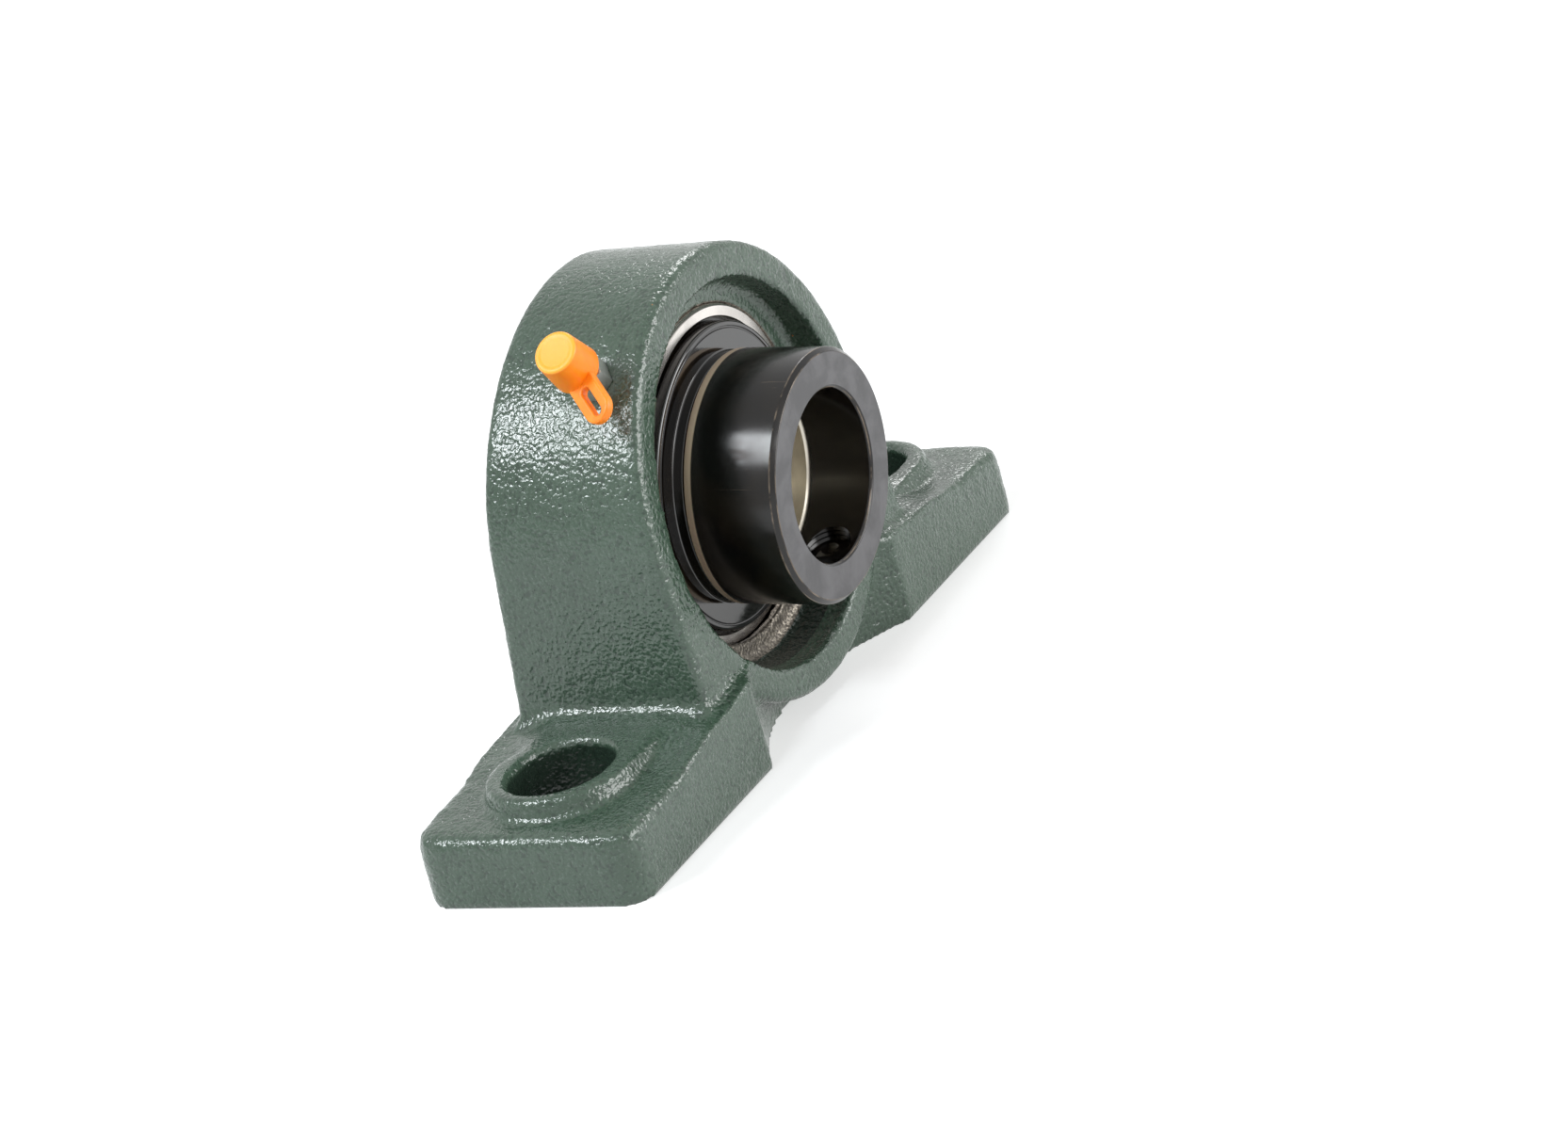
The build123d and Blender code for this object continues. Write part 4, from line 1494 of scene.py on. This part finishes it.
@dataclass
class Slinger:
    """A pressed cup on the inner ring, with its turned-in rim, pressed groove and hub."""

    axis: Axis
    bore: float = 20.17 * MM
    bore_edge: float = 0.08 * MM
    sheet: float = 0.8 * MM
    front: float = 10.5 * MM
    rim: float = 27.0 * MM
    rim_end: float = 7.6 * MM
    rim_edge: float = 0.1 * MM
    bend: float = 0.5 * MM
    groove: float = 25.9 * MM
    groove_half: float = 0.26 * MM
    groove_depth: float = 0.26 * MM
    groove_lip: float = 0.05 * MM
    hub: float = 21.8 * MM
    hub_end: float = 12.5 * MM
    hub_round: float = 0.3 * MM
    hub_root: float = 0.4 * MM

    def build(self, name: str, side: float) -> bpy.types.Object:
        """Turn one slinger.

        Args:
            name: the piece's name.
            side: 1 for the collar side, -1 for the far side.

        Returns:
            The slinger.
        """
        back, inner = self.front - self.sheet, self.rim - self.sheet
        lip = self.front - self.groove_lip
        outline = [
            (self.bore, back),
            (inner, back),
            (inner, self.rim_end + self.rim_edge),
            (inner + self.rim_edge, self.rim_end),
            (self.rim - self.rim_edge, self.rim_end),
            (self.rim, self.rim_end + self.rim_edge),
            *arc((self.rim - self.bend, self.front - self.bend), self.bend, 0, 90, 6),
            (self.groove + self.groove_half, self.front),
            *arc((self.groove, lip), self.groove_depth - self.groove_lip, 0, -180, 8),
            (self.groove - self.groove_half, self.front),
            *arc((self.hub + self.hub_root, self.front + self.hub_root), self.hub_root, 270, 180, 5),
            *arc((self.hub - self.hub_round, self.hub_end - self.hub_round), self.hub_round, 0, 90, 5),
            (self.bore + self.bore_edge, self.hub_end),
            (self.bore, self.hub_end - self.bore_edge),
        ]
        piece = lathe(name, outline, RING_STEPS)
        place(piece, self.axis.matrix() @ Matrix.Diagonal((side, 1, side, 1)))
        return piece


@dataclass
class Rings:
    """The insert's outer and inner rings."""

    axis: Axis
    sphere: float = 31.0 * MM
    sphere_end: float = 0.6
    half_width: float = 8.5 * MM
    rim_edge: float = 0.35 * MM
    seal_seat: float = 27.6 * MM
    seal_edge: float = 0.3 * MM
    seal_station: float = 5.8 * MM
    shoulder: float = 26.1 * MM
    pitch_radius: float = 23.0 * MM
    groove: float = 4.95 * MM
    bore: float = 15.0 * MM
    inner_radius: float = 20.15 * MM
    inner_back: float = 18.3 * MM
    inner_front: float = 17.9 * MM
    inner_edge: float = 0.6 * MM
    cam_start: float = 12.6 * MM
    cam_overlap: float = 0.5 * MM
    cam_radius: float = 18.6 * MM
    cam_offset: float = 0.8 * MM
    cam_edge: float = 0.3 * MM

    def build_outer(self) -> bpy.types.Object:
        """Turn the outer ring with its spherical outside, seal seats and ball groove.

        Returns:
            The outer ring.
        """
        turn = math.degrees(math.asin(self.half_width / self.sphere)) - self.sphere_end
        rim = self.sphere * math.cos(math.radians(turn))
        reach = math.degrees(math.acos((self.shoulder - self.pitch_radius) / self.groove))
        outline = [
            *arc((0, 0), self.sphere, -turn, turn, 28),
            (rim - self.rim_edge, self.half_width),
            (self.seal_seat + self.seal_edge, self.half_width),
            (self.seal_seat, self.half_width - self.seal_edge),
            (self.seal_seat, self.seal_station),
            (self.shoulder, self.seal_station),
            *arc((self.pitch_radius, 0), self.groove, reach, -reach, 12),
            (self.shoulder, -self.seal_station),
            (self.seal_seat, -self.seal_station),
            (self.seal_seat, -self.half_width + self.seal_edge),
            (self.seal_seat + self.seal_edge, -self.half_width),
            (rim - self.rim_edge, -self.half_width),
        ]
        piece = lathe("outer_ring_ground", outline, RING_STEPS)
        place(piece, self.axis.matrix())
        return piece

    def build_inner(self) -> bpy.types.Object:
        """Turn the inner ring with its ball groove and its eccentric end.

        Returns:
            The inner ring.
        """
        reach = math.degrees(math.acos((self.pitch_radius - self.inner_radius) / self.groove))
        outline = [
            (self.bore, self.cam_start),
            (self.bore, -self.inner_back + self.inner_edge),
            (self.bore + self.inner_edge, -self.inner_back),
            (self.inner_radius - self.inner_edge, -self.inner_back),
            (self.inner_radius, -self.inner_back + self.inner_edge),
            *arc((self.pitch_radius, 0), self.groove, 180 + reach, 180 - reach, 12),
            (self.inner_radius, self.cam_start),
        ]
        piece = lathe("inner_ring_ground", outline, RING_STEPS)
        cut(piece, self.cam_end(), "UNION")
        place(piece, self.axis.matrix())
        return piece

    def cam_end(self) -> bpy.types.Object:
        """The eccentric end that the collar locks on, bored through.

        Returns:
            The end, in the ring's own frame.
        """
        start, front = self.cam_start - self.cam_overlap, self.inner_front
        cam = lathe("cam_end", [
            (0, start),
            (self.cam_radius, start),
            (self.cam_radius, front - self.cam_edge),
            (self.cam_radius - self.cam_edge, front),
            (0, front),
        ], 160, False)
        place(cam, Matrix.Translation((self.cam_offset, 0, 0)))
        bore = lathe("cam_bore", [
            (0, self.cam_start - OVERCUT),
            (self.bore, self.cam_start - OVERCUT),
            (self.bore, front - self.inner_edge),
            (self.bore + 2 * self.inner_edge, front + self.inner_edge),
            (0, front + self.inner_edge),
        ], RING_STEPS, False)
        cut(cam, bore)
        return cam


@dataclass
class Nipple:
    """The grease nipple and its pull-off cap, about the nipple's own axis."""

    axis: Axis
    edge: float = 0.15 * MM
    fine_edge: float = 0.1 * MM
    thread: float = 3.0 * MM
    thread_length: float = 5.0 * MM
    thread_end: float = 0.2 * MM
    feed: float = 0.9 * MM
    hexagon: float = 3.5 * MM
    hexagon_height: float = 4.4 * MM
    hexagon_turned: float = 0.45 * MM
    hexagon_slope: float = 0.25 * MM
    turning_clearance: float = 0.05 * MM
    neck: float = 2.4 * MM
    neck_start: float = 0.4 * MM
    neck_end: float = 6.8 * MM
    neck_overlap: float = 0.05 * MM
    head: float = 3.25 * MM
    head_rise: float = 0.7 * MM
    head_band: float = 0.8 * MM
    head_height: float = 1.0 * MM
    tip: float = 1.9 * MM
    mouth: float = 0.9 * MM
    mouth_depth: float = 0.6 * MM
    passage: float = 1.4 * MM
    passage_depth: float = 1.2 * MM
    seat: float = 1.5 * MM
    end: float = 10.4 * MM
    cap_start: float = 5.3 * MM
    cap_end: float = 12.9 * MM
    wall: float = 1.2 * MM
    skirt: float = 4.4 * MM
    skirt_rise: float = 0.35 * MM
    crown: float = 3.9 * MM
    crown_round: float = 0.55 * MM
    dish_depth: float = 0.1 * MM
    dish_rim: float = 0.9 * MM
    dish_slope: float = 1.1 * MM
    dish_floor: float = 1.25 * MM
    inside: float = 3.35 * MM
    inside_rise: float = 0.2 * MM
    tab_angle: float = 50.0
    tab_reach: float = 12.5 * MM
    tab_width: float = 5.5 * MM
    tab_thickness: float = 1.7 * MM
    tab_twist: float = 18.0
    tab_root: float = 0.35 * MM
    tab_round: float = 0.38 * MM
    tab_rounded_from: float = 50.0
    hole_length: float = 6.2 * MM
    hole_width: float = 1.7 * MM

    def build_body(self) -> bpy.types.Object:
        """Turn the nipple with its passage and join its hexagon.

        Returns:
            The nipple.
        """
        shoulder = self.neck_end + self.head_rise
        outline = [
            (self.feed, -self.thread_length),
            (self.thread, -self.thread_length),
            (self.thread, self.thread_end),
            (self.neck, self.neck_start),
            (self.neck, self.neck_end),
            (self.head - self.edge, shoulder),
            (self.head, shoulder + self.edge),
            (self.head, shoulder + self.head_band),
            (self.head - self.fine_edge, shoulder + self.head_height),
            (self.tip + self.edge, self.end - self.fine_edge),
            (self.tip - self.fine_edge, self.end),
            (self.mouth + self.fine_edge, self.end),
            (self.mouth, self.end - self.fine_edge),
            (self.mouth, self.end - self.mouth_depth),
            (self.passage, self.end - self.passage_depth),
            (self.passage, self.seat),
            (self.feed, self.seat),
        ]
        piece = lathe("nipple_turned", outline, 64)
        cut(piece, self.hexagon_nut(), "UNION")
        place(piece, self.axis.matrix())
        return piece

    def hexagon_nut(self) -> bpy.types.Object:
        """The hexagon with its corners turned off at both ends and a hole for the neck.

        Returns:
            The hexagon, in the nipple's own frame.
        """
        height = self.hexagon_height
        nut = hexagon_bar("nipple_hexagon", self.hexagon, height, height / 2)
        corner = self.hexagon / math.cos(math.pi / 6)
        turned, widest = corner - self.hexagon_turned, corner + self.turning_clearance
        blank = lathe("hexagon_turning", [
            (0, -self.fine_edge),
            (turned, -self.fine_edge),
            (widest, self.hexagon_slope),
            (widest, height - self.hexagon_slope),
            (turned, height),
            (0, height),
        ], 64, False)
        cut(nut, blank, "INTERSECT")
        cut(nut, cylinder("neck_clearance", self.neck - self.neck_overlap, -OVERCUT, height + OVERCUT))
        return nut

    def build_cap(self) -> bpy.types.Object:
        """Turn the cap, with a shallow dish in its end, and join the pull loop.

        Returns:
            The cap.
        """
        top, start = self.cap_end, self.cap_start
        outline = [
            (0, top - self.dish_depth),
            (self.crown - self.dish_floor, top - self.dish_depth),
            (self.crown - self.dish_slope, top - 0.9 * self.dish_depth),
            (self.crown - self.dish_rim, top),
            *arc((self.crown - self.crown_round, top - self.crown_round), self.crown_round, 88, 5, 6),
            (self.skirt, start + self.skirt_rise),
            (self.skirt - self.edge, start),
            (self.inside + self.fine_edge, start),
            (self.inside, start + self.inside_rise),
            (self.inside, top - self.wall),
            (0, top - self.wall),
        ]
        piece = lathe("cap_moulded", outline, 96, False)
        cut(piece, self.pull_loop(), "UNION")
        place(piece, self.axis.matrix())
        return piece

    def pull_loop(self) -> bpy.types.Object:
        """The flat slotted ring that hangs from the skirt, its outer edges rounded.

        Returns:
            The loop, in the cap's own frame.
        """
        root, thick = self.inside + self.tab_root, self.tab_thickness
        blank = self.rounded_bar("pull_loop", root - self.tab_width / 2, self.tab_reach, self.tab_width,
                                 0.0, thick)
        hole_end = self.tab_reach - self.wall
        hole = self.rounded_bar("loop_hole", hole_end - self.hole_length, hole_end, self.hole_width, -OVERCUT,
                                thick + OVERCUT)
        cut(blank, hole)
        soften(blank, self.tab_round, 4, self.tab_rounded_from)
        cut(blank, cylinder("head_clearance", root, -OVERCUT, thick + OVERCUT))
        turn = Matrix.Rotation(math.radians(-90 - self.tab_angle), 4, "Z")
        twist = Matrix.Rotation(math.radians(self.tab_twist), 4, "X")
        place(blank, turn @ Matrix.Translation((0, 0, self.cap_start)) @ twist)
        return blank

    def rounded_bar(self, name: str, start: float, end: float, width: float, low: float,
                    high: float) -> bpy.types.Object:
        """A flat bar with round ends along +X.

        Args:
            name: the bar's name.
            start: where it starts along X.
            end: where it ends along X.
            width: its width, which is also twice the radius of its ends.
            low: its underside.
            high: its top.

        Returns:
            The bar.
        """
        deselect_everything()
        bpy.ops.mesh.primitive_circle_add(vertices=64, radius=width / 2, fill_type="NGON",
                                          location=(0, 0, low))
        bar = name_new(name)
        place(bar, bar.matrix_world.copy())
        for vertex in bar.data.vertices:
            middle = start + width / 2 if vertex.co.x < 0 else end - width / 2
            vertex.co.x += middle
        bpy.ops.object.mode_set(mode="EDIT")
        bpy.ops.mesh.select_all(action="SELECT")
        bpy.ops.mesh.extrude_region_move(TRANSFORM_OT_translate={"value": (0, 0, high - low)})
        bpy.ops.mesh.select_all(action="SELECT")
        bpy.ops.mesh.normals_make_consistent(inside=False)
        bpy.ops.object.mode_set(mode="OBJECT")
        return bar


# ---------------------------------------------------------------------------------------------
# Camera, light and floor
# ---------------------------------------------------------------------------------------------


@dataclass(frozen=True)
class View:
    """The camera's place: it looks at a target from a direction, turned about its own axis."""

    azimuth: float = -59.16
    elevation: float = 20.82
    roll: float = -14.67
    distance: float = 991.74 * MM
    target: Position = (27.05 * MM, 0.0, 13.41 * MM)
    focal_pixels: float = 5839.8
    sensor: float = 36.0
    clip: Point = (0.05, 20.0)

    def build(self) -> bpy.types.Object:
        """Make the camera and set it as the scene's.

        Returns:
            The camera.
        """
        azimuth, elevation, roll = (math.radians(part) for part in (self.azimuth, self.elevation, self.roll))
        back = Vector((math.sin(azimuth) * math.cos(elevation), -math.cos(azimuth) * math.cos(elevation),
                       math.sin(elevation)))
        level = Vector((math.cos(azimuth), math.sin(azimuth), 0))
        upright = back.cross(level)
        right = level * math.cos(roll) + upright * math.sin(roll)
        up = upright * math.cos(roll) - level * math.sin(roll)
        data = bpy.data.cameras.new("camera")
        data.sensor_width = self.sensor
        data.lens = self.focal_pixels / IMAGE_WIDTH * self.sensor
        data.clip_start, data.clip_end = self.clip
        camera = bpy.data.objects.new("camera", data)
        bpy.context.scene.collection.objects.link(camera)
        turn = Matrix((right, up, back)).transposed().to_4x4()
        camera.matrix_world = Matrix.Translation(Vector(self.target) + back * self.distance) @ turn
        bpy.context.scene.camera = camera
        return camera


@dataclass(frozen=True)
class Softbox:
    """One rectangular lamp aimed at the part."""

    name: str
    place: Position
    size: Point
    power: float
    tint: Colour = (1.0, 1.0, 1.0)
    aim: Position = (0.0, 0.0, 0.035)

    def build(self) -> bpy.types.Object:
        """Make the lamp.

        Returns:
            The lamp.
        """
        data = bpy.data.lights.new(self.name, "AREA")
        data.shape = "RECTANGLE"
        data.size, data.size_y = self.size
        data.energy = self.power
        data.color = self.tint
        lamp = bpy.data.objects.new(self.name, data)
        bpy.context.scene.collection.objects.link(lamp)
        lamp.location = self.place
        lamp.rotation_mode = "QUATERNION"
        lamp.rotation_quaternion = (Vector(self.aim) - Vector(self.place)).to_track_quat("-Z", "Y")
        return lamp


@dataclass(frozen=True)
class Studio:
    """A white floor under soft lamps, in a room that is white wherever it is seen or mirrored."""

    softboxes: tuple[Softbox, ...] = (
        Softbox("key_box", (-0.70, 0.60, 0.91), (0.44, 0.48), 12.5, (0.92, 0.97, 1.0)),
        Softbox("side_box", (-0.82, -0.02, 1.0), (0.28, 0.28), 3.6, (0.90, 0.96, 1.0)),
        Softbox("front_box", (0.42, -1.60, 0.46), (1.6, 0.8), 25.0),
        Softbox("back_box", (1.0, 0.2, 0.9), (0.4, 0.4), 4.6),
    )
    room: float = 0.30
    floor_half: float = 4.0
    floor_white: float = 0.72
    floor_glow: float = 0.50
    floor_roughness: float = 0.7
    floor_specular: float = 0.1

    def build(self) -> None:
        """Make the lamps, the world and the floor."""
        for box in self.softboxes:
            box.build()
        self.build_world()
        self.build_floor()
        bpy.context.scene.view_settings.view_transform = "Standard"

    def seen(self, graph: Graph) -> bpy.types.NodeSocket:
        """Whether the camera, a mirroring surface or a clear one looks.

        Args:
            graph: the graph of the world or of the floor's material.

        Returns:
            The mask.
        """
        path = graph.node("ShaderNodeLightPath").outputs
        either = graph.greater(path["Is Camera Ray"], path["Is Glossy Ray"])
        return graph.greater(either, path["Is Transmission Ray"])

    def build_world(self) -> None:
        """A dim even room light, white to the camera and in mirroring and clear surfaces."""
        world = bpy.data.worlds.new("room")
        world.use_nodes = True
        bpy.context.scene.world = world
        graph = Graph(world.node_tree)
        background = world.node_tree.nodes["Background"]
        graph.feed(background.inputs["Strength"], graph.blend(self.seen(graph), self.room, 1.0))
        background.inputs["Color"].default_value = WHITE

    def build_floor(self) -> None:
        """A wide white floor that keeps the part's shadow."""
        deselect_everything()
        bpy.ops.mesh.primitive_plane_add(size=2 * self.floor_half)
        floor = name_new("floor")
        material, graph, shader = new_material("floor_white")
        shader.inputs["Base Color"].default_value = rgba((self.floor_white,) * 3)
        shader.inputs["Roughness"].default_value = self.floor_roughness
        shader.inputs["Specular IOR Level"].default_value = self.floor_specular
        shader.inputs["Emission Color"].default_value = WHITE
        graph.feed(shader.inputs["Emission Strength"], graph.times(self.seen(graph), self.floor_glow))
        floor.data.materials.append(material)


# ---------------------------------------------------------------------------------------------
# The whole part
# ---------------------------------------------------------------------------------------------


@dataclass
class PillowBlock:
    """All pieces of the dressed part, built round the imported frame."""

    frame: dict
    insert: Axis = field(init=False)
    nipple: Axis = field(init=False)
    screw: Vector = field(init=False)

    def __post_init__(self) -> None:
        """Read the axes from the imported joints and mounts."""
        joints = {joint["name"]: joint for joint in self.frame["joints"]}
        spin = joints["shaft_spin"]
        self.insert = Axis(Vector(spin["pos_m"]), -Vector(spin["axis"]).normalized())
        mounts = {mount["name"]: mount for mount in self.frame["record"]["mounts"]}
        tip = Vector(mounts["grease_nipple"]["pos_m"])
        outward = Vector(joints["nipple_cap_pull"]["axis"]).normalized()
        self.nipple = Axis(tip - outward * Nipple.end, outward)
        self.screw = Vector(joints["set_screw_travel"]["axis"]).normalized()

    def build(self) -> None:
        """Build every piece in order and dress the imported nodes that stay."""
        effects = Effects()
        level = Axis(self.insert.origin, Vector((0, -1, 0)))
        casting = Housing(self.frame["nodes"]["housing"], level).build(self.nipple)
        hand_over(casting, CastEnamel(effects, level).build(), Body.HOUSING, ["housing"])
        self.build_insert(effects)
        self.build_collar(effects)
        self.build_nipple(effects)
        self.dress_nodes(effects)

    def build_insert(self, effects: Effects) -> None:
        """Build the rings and slingers.

        Args:
            effects: the shared node groups.
        """
        ground = TurnedSteel(effects, self.insert, "ground_steel", colour=(0.74, 0.70, 0.66), roughness=0.24)
        oiled = TurnedSteel(effects, self.insert, "oiled_steel", colour=(0.56, 0.52, 0.44), roughness=0.28)
        pressed = BlackOxide(effects, self.insert, "pressed_black", specular=0.9, roughness=0.09, depth=0.0,
                             worn=0.0).build()
        rings = Rings(self.insert)
        for piece, finish, body, node in ((rings.build_outer(), ground, Body.OUTER, "outer_ring"),
                                          (rings.build_inner(), oiled, Body.INNER, "inner_ring")):
            smooth(piece)
            hand_over(piece, finish.build(), body, [node])
        slinger = Slinger(self.insert)
        for name, side, node in (("slinger_pressed_front", 1.0, "slinger_front"),
                                 ("slinger_pressed_back", -1.0, "slinger_back")):
            piece = slinger.build(name, side)
            smooth(piece)
            hand_over(piece, pressed, Body.INNER, [node])

    def build_collar(self, effects: Effects) -> None:
        """Build the collar and its set screw.

        Args:
            effects: the shared node groups.
        """
        collar = Collar(self.insert)
        piece = collar.build(self.screw)
        skin = BlackOxide(effects, self.insert, "collar_oxide", worn=0.0, rims=collar.rims(),
                          band=collar.rubbed_band()).build()
        collar.dress(piece, skin, BlastedFace(effects, self.insert).build())
        smooth(piece)
        hand_over(piece, skin, Body.COLLAR, ["locking_collar"])
        line = self.insert.branch(collar.screw_station, self.screw)
        screw = SetScrew(line).build()
        smooth(screw)
        rubbed = BlackOxide(effects, line, "screw_oxide", worn=0.8).build()
        hand_over(screw, rubbed, Body.SCREW, ["set_screw"])

    def build_nipple(self, effects: Effects) -> None:
        """Build the nipple and its cap.

        Args:
            effects: the shared node groups.
        """
        nipple = Nipple(self.nipple)
        body = nipple.build_body()
        smooth(body)
        zinc = TurnedSteel(effects, self.nipple, "zinc_plate", colour=(0.80, 0.80, 0.77), roughness=0.34)
        hand_over(body, zinc.build(), Body.HOUSING, ["grease_nipple_body"])
        cap = nipple.build_cap()
        smooth(cap)
        hand_over(cap, SoftPlastic(effects, self.nipple).build(), Body.CAP, ["nipple_cap"])

    def dress_nodes(self, effects: Effects) -> None:
        """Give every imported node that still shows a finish, chosen by how its name starts.

        Args:
            effects: the shared node groups.
        """
        ball = TurnedSteel(effects, self.insert, "ball_polish", colour=(0.72, 0.72, 0.72), roughness=0.08)
        cage = TurnedSteel(effects, self.insert, "cage_strip", colour=(0.52, 0.50, 0.46), roughness=0.34)
        core = BlackOxide(effects, self.insert, "seal_core_black", worn=0.1)
        steel = TurnedSteel(effects, self.insert, "pin_steel", roughness=0.25).build()
        finishes = {"ball": ball.build(), "cage": cage.build(), "seal_lip": Rubber(effects).build(),
                    "seal_core": core.build(), "locating": steel, "nipple": steel}
        for name, node in self.frame["nodes"].items():
            if node.hide_render:
                continue
            finish = next(finishes[start] for start in finishes if name.startswith(start))
            node.data.materials.clear()
            node.data.materials.append(finish)


def main() -> None:
    """Build the camera, the studio and the part."""
    logging.basicConfig(level=logging.INFO, format="%(name)s %(message)s")
    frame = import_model()
    View().build()
    Studio().build()
    PillowBlock(frame).build()
    deselect_everything()


if __name__ == "__main__":
    main()
